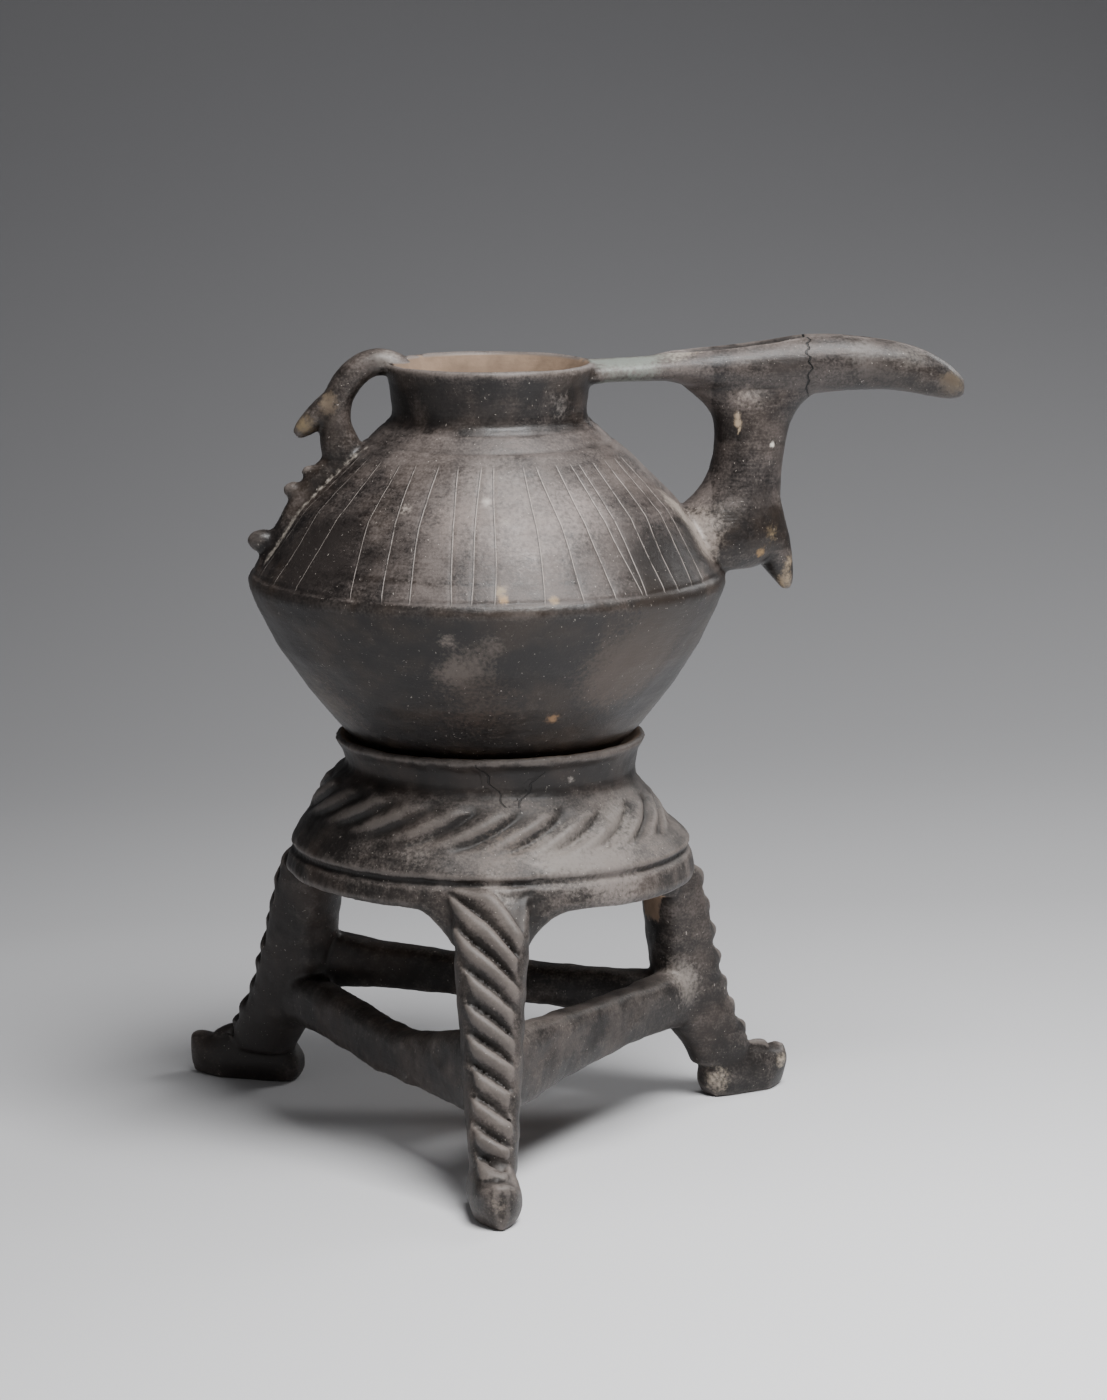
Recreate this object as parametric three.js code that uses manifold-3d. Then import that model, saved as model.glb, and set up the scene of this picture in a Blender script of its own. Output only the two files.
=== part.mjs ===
// A dark burnished spouted jar that rests in the collar of its own three-legged stand.
// Millimetres, +Z up. The long beak of the jar points along +X.
// Heights are counted from the floor, and the stand's axis is x = 0, y = 0.

import * as THREE from 'three';
import { mergeVertices } from 'three/addons/utils/BufferGeometryUtils.js';
import Module from 'manifold-3d';

// Driving dimensions of the jar

const wall = 5.5;
const base = { radius: 44, height: 186 };
const shoulderEdge = { radius: 120.7, height: 288 };
const neck = { radius: 48.8, height: 371 };
const rim = { radius: 52.9, height: 396.6, thickness: 3.6 };
const cavitySides = 24;
const sag = { height: 284, reach: 74, shift: -1.5 };

// Scratches down the shoulder: the azimuth in degrees of each in front, and how many follow behind
const scratches = { top: 350, bottom: 292, halfWidth: 0.9, depth: 0.9 };
const scratchesInFront = [
  -169, -159, -149, -135, -126, -117.5, -108, -101, -95.5, -83.5, -76, -67.5, -60.5, -56, -49.5,
  -43.5, -35, -27,
];
const scratchesBehind = 16;
const spoutClearAngle = 13;
const bandClearAngle = 8;
const boreRadius = 10.5;
const handleHalfWidth = 8;
const bandHalfWidth = 9;

// Driving dimensions of the stand

const seatGap = 0.5;
const seatHeight = 201.5;
const strands = 23;
const columnsPerStrand = 3;
const strandSlant = 4.5;
const strandRelief = 2.6;
const standCavitySides = 24;
const apronEdge = 136;
const apronTilt = 2;
const beltTilt = 5.5;
const beltTiltAzimuth = -7;
const webDrop = 22;
const webReach = 24;

// Each leg's direction, where its heel and toe end, how far its shaft splays and bows outwards,
// how much flatter it is than the front leg, how far it drifts sideways on its way down, how far
// its foot turns, and how far out its struts are joined on
const legs = [
  { azimuth: -97, heel: 131, toe: 188, splay: 8, bow: 0, slim: 0, drift: 1, turn: 8, joint: 0 },
  { azimuth: 22, heel: 127, toe: 179, splay: 0, bow: 1, slim: 2.8, drift: 0, turn: 5, joint: 1 },
  { azimuth: 140, heel: 136, toe: 199, splay: 16, bow: 1.5, slim: 0, drift: -17, turn: 13, joint: 6 },
];
const legTop = 149;
const legTopRounding = 3;
const legBottom = 17;
const legSides = 8;
const ridgeCount = 10;
const ridgeRelief = 2.9;
const ridgeSlope = 0.8;
const strutThickness = 18;
const strutRadius = 113;

const degrees = Math.PI / 180;
const upward = new THREE.Vector3(0, 0, 1);
const wasm = await Module();
wasm.setup();

// Solids and meshes

// Leaves out a triangle that has shrunk to a line because two of its corners are one point
function wholeTriangles(index) {
  const kept = [];
  for (let i = 0; i < index.length; i += 3) {
    const [a, b, c] = index.slice(i, i + 3);
    if (a !== b && b !== c && c !== a) kept.push(a, b, c);
  }
  return kept;
}

function solidOf(geometry) {
  const bare = geometry.clone();
  bare.deleteAttribute('normal');
  bare.deleteAttribute('uv');
  const merged = mergeVertices(bare, 1e-4);
  const vertProperties = new Float32Array(merged.attributes.position.array);
  const triVerts = new Uint32Array(wholeTriangles(Array.from(merged.index.array)));
  return new wasm.Manifold(new wasm.Mesh({ numProp: 3, vertProperties, triVerts }));
}

function meshOf(name, solid, material) {
  const { vertProperties, triVerts } = solid.getMesh();
  const geometry = new THREE.BufferGeometry();
  geometry.setAttribute('position', new THREE.BufferAttribute(vertProperties, 3));
  geometry.setIndex(new THREE.BufferAttribute(triVerts, 1));
  geometry.computeVertexNormals();
  const mesh = new THREE.Mesh(geometry, material);
  mesh.name = name;
  return mesh;
}

function turned(profile, sides) {
  const points = profile.map(([radius, height]) => new THREE.Vector2(radius, height));
  return solidOf(new THREE.LatheGeometry(points, sides).rotateX(Math.PI / 2));
}

// A closed skin over rings of points that all have the same count, with a fan at each end.
// The rings run anticlockwise as seen from where the limb goes.
function lofted(rings) {
  const sides = rings[0].length;
  const positions = rings.flat().flatMap((point) => [point.x, point.y, point.z]);
  const index = [];
  for (let row = 0; row < rings.length - 1; row += 1) {
    for (let side = 0; side < sides; side += 1) {
      const a = row * sides + side;
      const b = row * sides + ((side + 1) % sides);
      index.push(a, b, b + sides, a, b + sides, a + sides);
    }
  }
  const addFan = (row, from, to) => {
    const centre = rings[row].reduce((sum, point) => sum.add(point), new THREE.Vector3());
    centre.divideScalar(sides);
    const hub = positions.length / 3;
    positions.push(centre.x, centre.y, centre.z);
    for (let side = 0; side < sides; side += 1) {
      index.push(hub, row * sides + ((side + from) % sides), row * sides + ((side + to) % sides));
    }
  };
  addFan(0, 1, 0);
  addFan(rings.length - 1, 0, 1);
  const geometry = new THREE.BufferGeometry();
  geometry.setAttribute('position', new THREE.Float32BufferAttribute(positions, 3));
  geometry.setIndex(index);
  return solidOf(geometry);
}

function joined(solids) {
  return solids.reduce((sum, solid) => sum.add(solid));
}

function ringOf(sides, place) {
  return Array.from({ length: sides }, (_, i) => {
    const angle = (2 * Math.PI * (i + 0.5)) / sides;
    return place(Math.cos(angle), Math.sin(angle));
  });
}

// Straight-line reading of a table of [where, value, value ...] rows
function readAt(table, where) {
  const last = table.length - 1;
  if (where <= table[0][0]) return table[0].slice(1);
  if (where >= table[last][0]) return table[last].slice(1);
  const next = table.findIndex((row) => row[0] > where);
  const [before, after] = [table[next - 1], table[next]];
  const share = (where - before[0]) / (after[0] - before[0]);
  return before.slice(1).map((value, i) => THREE.MathUtils.lerp(value, after[i + 1], share));
}

// A round limb whose centre line lies in the x-z plane: rows of [x, z, half width, half height]
function limb(stations, sides) {
  const points = stations.map(([x, z]) => new THREE.Vector2(x, z));
  return lofted(stations.map(([x, z, halfWidth, halfHeight], i) => {
    const from = points[Math.max(i - 1, 0)];
    const to = points[Math.min(i + 1, points.length - 1)];
    const along = to.clone().sub(from).normalize();
    return ringOf(sides, (cos, sin) => new THREE.Vector3(
      x - along.y * sin * halfHeight,
      cos * halfWidth,
      z + along.x * sin * halfHeight,
    ));
  }));
}

// An upright limb, from the bottom up: rows of [z, centre x, half depth along x, half width]
function column(stations, sides) {
  return lofted(stations.map(([z, x, halfDepth, halfWidth]) => (
    ringOf(sides, (cos, sin) => new THREE.Vector3(x + cos * halfDepth, sin * halfWidth, z))
  )));
}

// The jar's turned body: profiles of [height, radius], from the bottom up

const lowerWall = [
  [base.height, base.radius], [195, 58], [215, 77.6], [235, 93.7], [255, 106.9], [275, 116.6],
  [shoulderEdge.height - 3, 120.5], [shoulderEdge.height, shoulderEdge.radius],
];
const shoulder = [
  [scratches.bottom - 1, 118.9], [scratches.bottom, 118.2], [307, 108], [326, 95.8],
  [338, 83.7], [scratches.top, 71], [scratches.top + 1, 69.8],
];
const neckWall = [
  [355.6, 64.4], [357.4, 61.7], [366, 52.4], [368.6, 49.2], [neck.height + 2, neck.radius],
  [387, 50.6], [394.6, rim.radius], [rim.height, rim.radius - 1.2],
];
const bodyProfile = [...lowerWall, ...shoulder, ...neckWall];

// The hand-built body leans a little away from the beak where it is widest
function sagAt(height) {
  return sag.shift * Math.max(1 - Math.abs(height - sag.height) / sag.reach, 0);
}

// The scratches behind go on from the last one in front, round past the beak's root to the band
function scratchAngles() {
  const last = scratchesInFront[scratchesInFront.length - 1];
  const step = (scratchesInFront[0] + 360 - last) / (scratchesBehind + 1);
  const behind = Array.from({ length: scratchesBehind }, (_, i) => (
    last + step * (i + 1) + 2.2 * Math.sin(i * 2.4) + 1.1 * Math.sin(i * 5.1)
  ));
  return [...scratchesInFront, ...behind];
}

function isScratched(angle) {
  const fromBand = Math.abs(Math.abs(angle) - 180);
  return Math.abs(angle) > spoutClearAngle && fromBand > bandClearAngle;
}

// Every scratch down the shoulder has three columns of corners: its two edges and its bottom.
// Outside the shoulder the three run together into one.
function jarOutside() {
  const angles = scratchAngles();
  const rings = bodyProfile.map(([height, radius]) => {
    const cut = height >= scratches.bottom && height <= scratches.top;
    const down = THREE.MathUtils.clamp((scratches.top - height) / 60, 0, 1);
    return Array.from({ length: angles.length * 3 }, (_, i) => {
      const line = Math.floor(i / 3);
      const side = (i % 3) - 1;
      const angle = angles[line];
      const open = cut && isScratched(angle) ? 1 : 0;
      const slant = 2 * down * Math.sin(line * 1.3);
      const here = (angle + slant) * degrees + (open * side * scratches.halfWidth) / radius;
      const out = radius - (side === 0 ? open * scratches.depth : 0);
      return new THREE.Vector3(out * Math.cos(here) + sagAt(height), out * Math.sin(here), height);
    });
  });
  return lofted(rings);
}

function jarCavity() {
  const mouth = rim.radius - rim.thickness;
  return turned([
    [0, base.height + wall], [base.radius - 3, base.height + wall], [54, 200], [86, 236],
    [109, 272], [113.6, 287], [103, 305], [85, 328], [62, 350.5], [47, 362],
    [neck.radius - wall, neck.height - 1], [neck.radius - wall + 1, 383], [mouth, rim.height],
    [mouth + 1, rim.height + 6], [0, rim.height + 6],
  ], cavitySides);
}

// The spout: a flat strap from the rim, a long open beak, the riser under it and its hanging spur

function strap() {
  const half = 4.6;
  return limb([
    [44, 390.5, 19, half], [52, 391.6, 17, half], [70, 391.8, 15.5, half], [100, 392.5, 15.5, half],
  ], 8);
}

// Upright cross-sections of the beak: [x, underside, top, half width]
const beakSections = [
  [80, 387, 397.5, 15], [93, 385, 400.8, 15.8], [108, 380.5, 403.6, 16.6], [124, 377, 405.4, 17],
  [140, 376, 407.2, 17], [156, 376.6, 408.9, 16], [172, 378.4, 408.9, 14.8],
  [188, 379.2, 407.7, 13.8], [204, 379.3, 405.3, 12.6], [219, 376.9, 401.8, 11],
  [230, 374.3, 396.2, 9.6], [238, 373.2, 390, 7.8], [243, 375, 384.4, 4.6],
];

function beak() {
  return lofted(beakSections.map(([x, low, high, halfWidth]) => (
    ringOf(12, (cos, sin) => new THREE.Vector3(
      x, cos * halfWidth, THREE.MathUtils.lerp(low, high, (1 + sin * 1.03) / 2),
    ))
  )));
}

// The open channel, cut up through the top of the beak: [x, floor, half width]
function channel() {
  const sections = [
    [88, 399.6, 6], [97, 394.5, 8], [112, 389.5, 9], [150, 392.5, 8], [160, 401, 4.4],
    [190, 402.6, 3.2], [219, 397.6, 2.8], [231, 391.4, 2.6], [240, 384.8, 2.4], [248, 377, 2.4],
  ];
  const cross = [[-1.25, 22], [-1, 8], [-0.6, 1.4], [0, 0], [0.6, 1.4], [1, 8], [1.25, 22]];
  return lofted(sections.map(([x, floor, halfWidth]) => (
    cross.map(([side, up]) => new THREE.Vector3(x, side * halfWidth, floor + up))
  )));
}

// The upright pipe between the shoulder and the beak
function riser() {
  return column([
    [290.5, 106, 31, 22], [297, 112, 36, 25], [306, 115, 36.5, 25.5], [317, 120.5, 29.3, 22],
    [327, 127, 21.6, 18.8], [340, 131, 18.1, 17], [354, 132.9, 18.2, 16.8],
    [366, 134.2, 19.8, 16.6], [374, 134.4, 24.4, 15.8], [384, 135, 32, 13],
  ], 12);
}

function spur() {
  return column([
    [277.9, 152.1, 1.8, 1.9], [280, 151.8, 3.7, 3.9], [284, 150.4, 5.5, 5.6],
    [289, 148, 7.6, 7.6], [295, 146.4, 8.5, 9.6], [303, 143, 10.4, 12], [312, 137, 13, 14],
  ], 8);
}

// The pipe's bore, from the shoulder's inside up into the channel
function bore() {
  return limb([
    [98, 304, 13, 12], [112, 309, 12, 11], [124, 320, boreRadius, boreRadius],
    [130, 336, boreRadius, boreRadius], [132, 360, boreRadius, boreRadius],
    [132, 398, 8, boreRadius],
  ], 10);
}

// The loop handle with its pointed spur, and the knobbed band below it

function handle() {
  const half = handleHalfWidth;
  return limb([
    [-44, 393.5, 11, 6], [-51.5, 397.6, half + 1, 6.8], [-59.5, 397.6, half, 7],
    [-67, 393.2, half, 7.2], [-73, 386.6, half, 7.3], [-76.8, 379, half, 7.2],
    [-78, 371, half, 7.1], [-77.4, 363.5, half + 0.4, 7.6], [-75.2, 354, half + 1.4, 10.5],
    [-72, 346, half + 1, 9],
  ], 8);
}

function handleSpur() {
  return limb([
    [-77, 378, 7, 7.6], [-84.6, 372.4, 6.4, 6.9], [-90.6, 367.2, 5, 5.3],
    [-94.6, 363.2, 3.9, 4], [-97.4, 360.8, 1.8, 2],
  ], 8);
}

// [height, how far it stands proud of the shoulder]
const bandRise = [
  [291, 1.6], [304, 4.5], [314, 5.2], [322, 6], [330, 8.4], [338, 8.7], [346, 9.4], [352, 10.4],
];

function band() {
  return limb(bandRise.map(([height, rise]) => {
    const [radius] = readAt(bodyProfile, height);
    return [-radius, height, bandHalfWidth, rise];
  }), 8);
}

function knob([x, z, radius, length, tilt]) {
  const ball = new THREE.SphereGeometry(radius, 8, 5).rotateZ(Math.PI / 2);
  return solidOf(ball.scale(length / radius, 1, 1).rotateY(-tilt * degrees).translate(x, 0, z));
}

function knobs() {
  const sizes = [[-90.5, 342.6, 3.3, 4.6, 5], [-98, 333, 4.6, 6.4, -8], [-113.5, 307.6, 6.2, 9.2, -8]];
  return sizes.map(knob);
}

function jar() {
  const limbs = [strap(), beak(), riser(), spur(), handle(), handleSpur(), band(), ...knobs()];
  const whole = joined([jarOutside(), ...limbs]);
  return whole.subtract(jarCavity()).subtract(bore()).subtract(channel());
}

// The stand's ring

// Distance along the ring from the side of the nearest leg
function fromLeg(angle, radius) {
  const halfLeg = 17;
  const gaps = legs.map((leg) => {
    const turn = Math.abs(angle - leg.azimuth * degrees) % (2 * Math.PI);
    return Math.min(turn, 2 * Math.PI - turn) * radius;
  });
  return Math.max(Math.min(...gaps) - halfLeg, 0);
}

// Rows of the ring's outer skin, from the bottom up:
// [height, radius, strand relief, slant share, share of the edge's drop beside a leg,
// share of the belt's tilt]
const ringRows = [
  [apronEdge, 102.4, 0, 0, 1, 0], [apronEdge + 3, 104.4, 0, 0, 0.7, 0],
  [147, 102.4, 0, 0, 0.15, 0], [150.6, 99.2, 0, 0, 0.1, 0], [152.6, 101.2, 0, 0, 0.1, 0],
  [155.4, 100.6, 0, 0, 0.1, 0.1], [161, 96.2, 0, 0, 0, 0.4], [165.8, 91.4, 0.6, 0.2, 0, 0.7],
  [169.4, 88.8, 1, 0.4, 0, 0.9], [175, 85.8, 1, 0.68, 0, 1], [181, 82, 0.7, 0.94, 0, 1],
  [185.6, 78, 0, 1, 0, 0.9], [188.6, 74.6, 0, 1, 0, 0.7], [192.6, 73.4, 0, 1, 0, 0.3],
  [201, 75.4, 0, 1, 0, 0], [206, 78.9, 0, 1, 0, 0], [208, 77.4, 0, 1, 0, 0],
];

// A strand has its groove and two corners of its crest, which run together where it ends
const strandColumns = [0, 1, 2];
const plainColumns = [0, 1.5, 1.5];

function ringOutside() {
  const columns = strands * columnsPerStrand;
  const wave = [-1, 0.35, 0.5];
  return lofted(ringRows.map(([height, radius, relief, slant, drop, belt]) => {
    const places = relief > 0 ? strandColumns : plainColumns;
    return Array.from({ length: columns }, (_, i) => {
      const corner = i % columnsPerStrand;
      const place = i - corner + places[corner] + slant * strandSlant;
      const angle = (2 * Math.PI * place) / columns;
      const out = radius + strandRelief * relief * wave[corner];
      const near = Math.max(1 - fromLeg(angle, radius) / webReach, 0);
      const web = drop * webDrop * near * near - (drop > 0 ? 2 * near : 0);
      const beltDrop = belt * beltTilt * Math.cos(angle - beltTiltAzimuth * degrees);
      const tilt = drop * apronTilt * Math.cos(angle) + beltDrop;
      return new THREE.Vector3(out * Math.cos(angle), out * Math.sin(angle), height - web - tilt);
    });
  }));
}

function standCavity() {
  const [jarRadius] = readAt(lowerWall, seatHeight);
  const seatRadius = (jarRadius + seatGap) / Math.cos(Math.PI / standCavitySides);
  const bottom = 104;
  return turned([
    [0, bottom], [92.6, bottom], [92.6, apronEdge + 4], [89, 152], [82, 163], [75, 173],
    [68.4, 183], [seatRadius, 192], [seatRadius, seatHeight], [75, 208.2], [76, 212], [0, 212],
  ], standCavitySides);
}

// A leg, built along +X and turned to its place

// [height, inner radius, outer radius, half width, ridge slope share]
const legShape = [
  [17, 123, 157, 11.5, 0], [28, 117.5, 157.5, 12.2, 0.5], [34, 112.5, 154, 12.8, 0.7],
  [41, 105.5, 150, 13.4, 0.8], [52, 101, 144.4, 14, 0.8],
  [62, 99, 140, 14.8, 0.8], [77, 96.4, 134.6, 15.8, 0.9], [93, 95, 130.4, 16.9, 1],
  [109, 93.4, 127, 17.8, 1.1], [125, 91.6, 122.6, 18.8, 1.2], [134, 89, 115, 19.6, 1.2],
  [142, 87, 108.4, 20.6, 1.1], [149, 85, 101, 21.4, 0.8],
];

// Slanting rows are pressed together under the leg's top, so that none rises above the ledge
function belowLegTop(height) {
  return legTop - legTopRounding * Math.log(1 + Math.exp((legTop - height) / legTopRounding));
}

function legPoint(leg, height, ridge, cos, sin) {
  const [inner, outer, halfWidth, slope] = readAt(legShape, height);
  const fall = (legTop - height) / legTop;
  const splay = leg.splay * (0.15 + 0.85 * fall) + leg.bow * Math.sin(Math.PI * fall);
  const depth = outer - leg.slim - inner;
  const boxy = (Math.sign(cos) * Math.abs(cos) ** 0.8 * depth) / 2;
  const bump = ridge * ridgeRelief * Math.max(cos, 0);
  const side = sin * halfWidth;
  const lean = ridgeSlope * slope * side;
  const middle = inner + depth / 2 + splay;
  return new THREE.Vector3(
    middle + boxy + bump, side + leg.drift * fall, belowLegTop(height - lean),
  );
}

// Three rows to a ridge on the outer face; on the plain inner face they run together into one
function legShaft(leg) {
  const wave = [-1, 0.55, 0.75];
  const rows = ridgeCount * 3;
  const heightOf = (row) => THREE.MathUtils.lerp(legBottom, legTop, (row / rows) ** 1.12);
  return lofted(Array.from({ length: rows + 1 }, (_, i) => (
    ringOf(legSides, (cos, sin) => {
      const row = cos > 0 ? i : i - (i % 3);
      return legPoint(leg, heightOf(row), i === 0 ? 0 : wave[i % 3], cos, sin);
    })
  )));
}

// The boot-like foot: [share of the way from heel to toe, underside, top, half width]
const footShape = [
  [0, 5, 14.5, 6], [0.07, 0.8, 20.5, 9.8], [0.2, 0, 29, 11.8], [0.62, 0, 29.5, 13],
  [0.78, 0, 20.6, 12.8], [0.92, 0, 22.2, 11], [0.97, 0.8, 22, 8.4], [1, 4.6, 19.6, 4.8],
];

// Half of the foot's cross-section, from the sole up: [share of the half width, share of the height]
const footCross = [[0.86, 0], [1, 0.2], [0.94, 0.7], [0.5, 1]];

function foot(leg) {
  const across = [...footCross, ...footCross.map(([side, up]) => [-side, up]).reverse()];
  const length = leg.toe - leg.heel;
  const rings = footShape.map(([share, low, high, halfWidth]) => (
    across.map(([side, up]) => new THREE.Vector3(
      (share - 0.5) * length, side * halfWidth, THREE.MathUtils.lerp(low, high, up),
    ))
  ));
  const middle = leg.heel + length / 2;
  return lofted(rings).rotate([0, 0, leg.turn]).translate([middle, leg.drift, 0]);
}

function legSolid(leg) {
  return legShaft(leg).add(foot(leg)).rotate([0, 0, leg.azimuth]);
}

// A lumpy bar from one leg to the next: [share of the way, underside, top]
const struts = [
  { from: 2, to: 0, rows: [[0.02, 37, 66], [0.12, 38, 65], [0.25, 38, 64.5], [0.4, 33.5, 62],
    [0.54, 34, 60], [0.68, 35, 64], [0.82, 36, 73.5], [0.96, 36, 80]] },
  { from: 0, to: 1, rows: [[0.04, 38, 80], [0.2, 39.5, 78], [0.38, 42.4, 75.6],
    [0.56, 43.4, 73.6], [0.76, 44, 71.4], [0.9, 42, 71.6], [0.98, 40, 74]] },
  { from: 1, to: 2, rows: [[0.03, 44, 71], [0.14, 45, 68], [0.34, 49, 71.6], [0.54, 53, 75.4],
    [0.68, 55, 79], [0.8, 57.4, 81.6], [0.9, 56.6, 87], [0.98, 53, 92]] },
];

// Where a strut meets a leg, on the middle of the leg
function strutEnd(leg) {
  const fall = 0.62;
  return new THREE.Vector3(strutRadius + leg.splay * fall + leg.joint, leg.drift * fall, 0)
    .applyAxisAngle(upward, leg.azimuth * degrees);
}

function strut({ from, to, rows }) {
  const start = strutEnd(legs[from]);
  const finish = strutEnd(legs[to]);
  const along = finish.clone().sub(start).normalize();
  const inward = new THREE.Vector3(-along.y, along.x, 0);
  return lofted(rows.map(([share, low, high]) => {
    const centre = start.clone().lerp(finish, share);
    const grip = 1 + 0.35 * Math.abs(2 * share - 1) ** 3;
    return ringOf(8, (cos, sin) => {
      const across = (Math.sign(cos) * Math.abs(cos) ** 0.7 * strutThickness * grip) / 2;
      const up = THREE.MathUtils.lerp(low, high, 0.5 + 0.54 * sin);
      return centre.clone().addScaledVector(inward, across).setZ(up);
    });
  }));
}

function stand() {
  const pieces = [ringOutside(), ...legs.map(legSolid), ...struts.map(strut)];
  return joined(pieces).subtract(standCavity());
}

// The two pieces, dropped onto the floor with the origin under the middle of the whole

const burnishedClay = new THREE.MeshStandardMaterial({ color: 0x4d4643, roughness: 0.55 });
const dustyClay = new THREE.MeshStandardMaterial({ color: 0x56514e, roughness: 0.7 });

const vessel = new THREE.Group();
vessel.add(meshOf('spouted_jar', jar(), burnishedClay));
vessel.add(meshOf('tripod_stand', stand(), dustyClay));

const bounds = new THREE.Box3().setFromObject(vessel);
const middle = bounds.getCenter(new THREE.Vector3());
vessel.position.set(-middle.x, -middle.y, -bounds.min.z);

export default vessel;
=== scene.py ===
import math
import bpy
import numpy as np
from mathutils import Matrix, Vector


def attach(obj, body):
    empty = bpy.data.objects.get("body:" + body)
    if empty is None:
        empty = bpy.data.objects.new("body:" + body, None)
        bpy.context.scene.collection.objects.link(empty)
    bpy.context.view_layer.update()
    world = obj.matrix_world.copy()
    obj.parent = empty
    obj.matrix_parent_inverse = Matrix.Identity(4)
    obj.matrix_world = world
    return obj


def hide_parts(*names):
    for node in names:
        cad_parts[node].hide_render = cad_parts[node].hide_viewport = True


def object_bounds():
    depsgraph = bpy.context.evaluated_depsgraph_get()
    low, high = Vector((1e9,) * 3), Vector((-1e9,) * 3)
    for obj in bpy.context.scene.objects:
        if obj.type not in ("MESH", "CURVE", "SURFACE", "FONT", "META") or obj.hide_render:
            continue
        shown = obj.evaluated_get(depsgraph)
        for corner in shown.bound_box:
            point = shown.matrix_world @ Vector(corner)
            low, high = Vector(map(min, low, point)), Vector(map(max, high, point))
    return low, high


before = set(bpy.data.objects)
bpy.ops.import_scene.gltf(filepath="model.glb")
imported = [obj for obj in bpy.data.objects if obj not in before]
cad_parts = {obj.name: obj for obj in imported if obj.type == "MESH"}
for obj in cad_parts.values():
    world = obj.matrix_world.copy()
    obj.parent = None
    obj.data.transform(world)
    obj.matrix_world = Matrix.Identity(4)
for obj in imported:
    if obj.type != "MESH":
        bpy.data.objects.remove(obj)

# %% [markdown]
# # A spouted jar on its three-legged stand
#
# The object is two hand-built pieces of dark burnished clay: a jar with a long open beak, and the
# stand whose collar holds it. The CAD model fixes their sizes. Here both are modelled again with
# the softness of clay: every form is grown from a primitive with extrude, the forms are fused by a
# voxel remesh, and the low relief is then pushed into the skin as a tool pushes into wet clay.

MM = 0.001
cad_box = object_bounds()
print("CAD box in mm:", [[round(value / MM, 1) for value in corner] for corner in cad_box])

# %% [markdown]
# The stand's collar is round, so the middle of its highest corners is the axis of the whole object.
# Every height below is counted from the floor, and every distance from this axis, in millimetres.
# Taking the axis from the CAD node keeps both pieces in place if the CAD model moves.

# %% The axis of the pot
stand_node = bpy.data.objects["tripod_stand"]
corners = np.array([corner.co for corner in stand_node.data.vertices])
rim_corners = corners[corners[:, 2] > corners[:, 2].max() - 0.4 * MM]
axis_x, axis_y = np.unique(rim_corners.round(5), axis=0)[:, :2].mean(axis=0)
print("axis of the collar in mm:", round(axis_x / MM, 2), round(axis_y / MM, 2))


def place(x, y, z):
    return (axis_x + x * MM, axis_y + y * MM, z * MM)


# %% [markdown]
# A pot is built up in coils, and the same way works here: a disc is extruded upwards one step at a
# time, and each new ring is scaled to the radius that the pot has at that height. The profile is
# only a list of heights and radii, so it is easy to correct against the photograph.
#
# A primitive is added with nothing else selected, because an operator acts on all that is selected.

# %% Growing a round form from a disc
def add_alone(name, add_primitive, **settings):
    bpy.ops.object.select_all(action="DESELECT")
    add_primitive(**settings)
    bpy.context.object.name = name
    return bpy.context.object


def coil_built(name, profile, sides=144):
    height, radius = profile[0]
    pot = add_alone(name, bpy.ops.mesh.primitive_circle_add, vertices=sides, radius=radius * MM,
                    fill_type="NGON", location=place(0, 0, height))
    bpy.ops.object.transform_apply(location=True, rotation=True, scale=True)
    bpy.ops.object.mode_set(mode="EDIT")
    bpy.ops.mesh.select_all(action="SELECT")
    for next_height, next_radius in profile[1:]:
        step = (0, 0, (next_height - height) * MM)
        bpy.ops.mesh.extrude_region_move(TRANSFORM_OT_translate={"value": step})
        wider = next_radius / radius
        bpy.ops.transform.resize(value=(wider, wider, 1), center_override=place(0, 0, next_height))
        height, radius = next_height, next_radius
    bpy.ops.object.mode_set(mode="OBJECT")
    return pot


# %% [markdown]
# Spout, handle and legs are limbs: a disc is extruded along a bent line, and each new end is turned
# and scaled. A row gives the middle of the limb, its half width and its half height there. The rings
# turn with the line, unless one heading is given for all of them. A subdivision surface then rounds
# the steps between the rows, as a wet hand would. It would also shrink both ends, so a second ring is
# held close to each end. A squarish bar starts from a disc whose corners are pushed outwards.

# %% Modifiers, always applied
def alone(piece):
    bpy.ops.object.select_all(action="DESELECT")
    bpy.context.view_layer.objects.active = piece
    piece.select_set(True)


def finish_with(piece, kind, **settings):
    alone(piece)
    modifier = piece.modifiers.new(kind.title(), kind)
    for setting, value in settings.items():
        setattr(modifier, setting, value)
    bpy.ops.object.modifier_apply(modifier=modifier.name)


# %% Growing a limb along a bent line
ALONG_X = math.pi / 2
UPWARD = 0.0


def headings_of(rows, heading):
    turns = []
    for number in range(len(rows)):
        x0, z0 = rows[max(number - 1, 0)][:2]
        x1, z1 = rows[min(number + 1, len(rows) - 1)][:2]
        turns.append(math.atan2(x1 - x0, z1 - z0) if heading is None else heading)
    return turns


# The second ring at an end is held this share of the first step away from it
HOLD = 0.03


def held(row, neighbour):
    return tuple((1 - HOLD) * here + HOLD * there for here, there in zip(row, neighbour))


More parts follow.
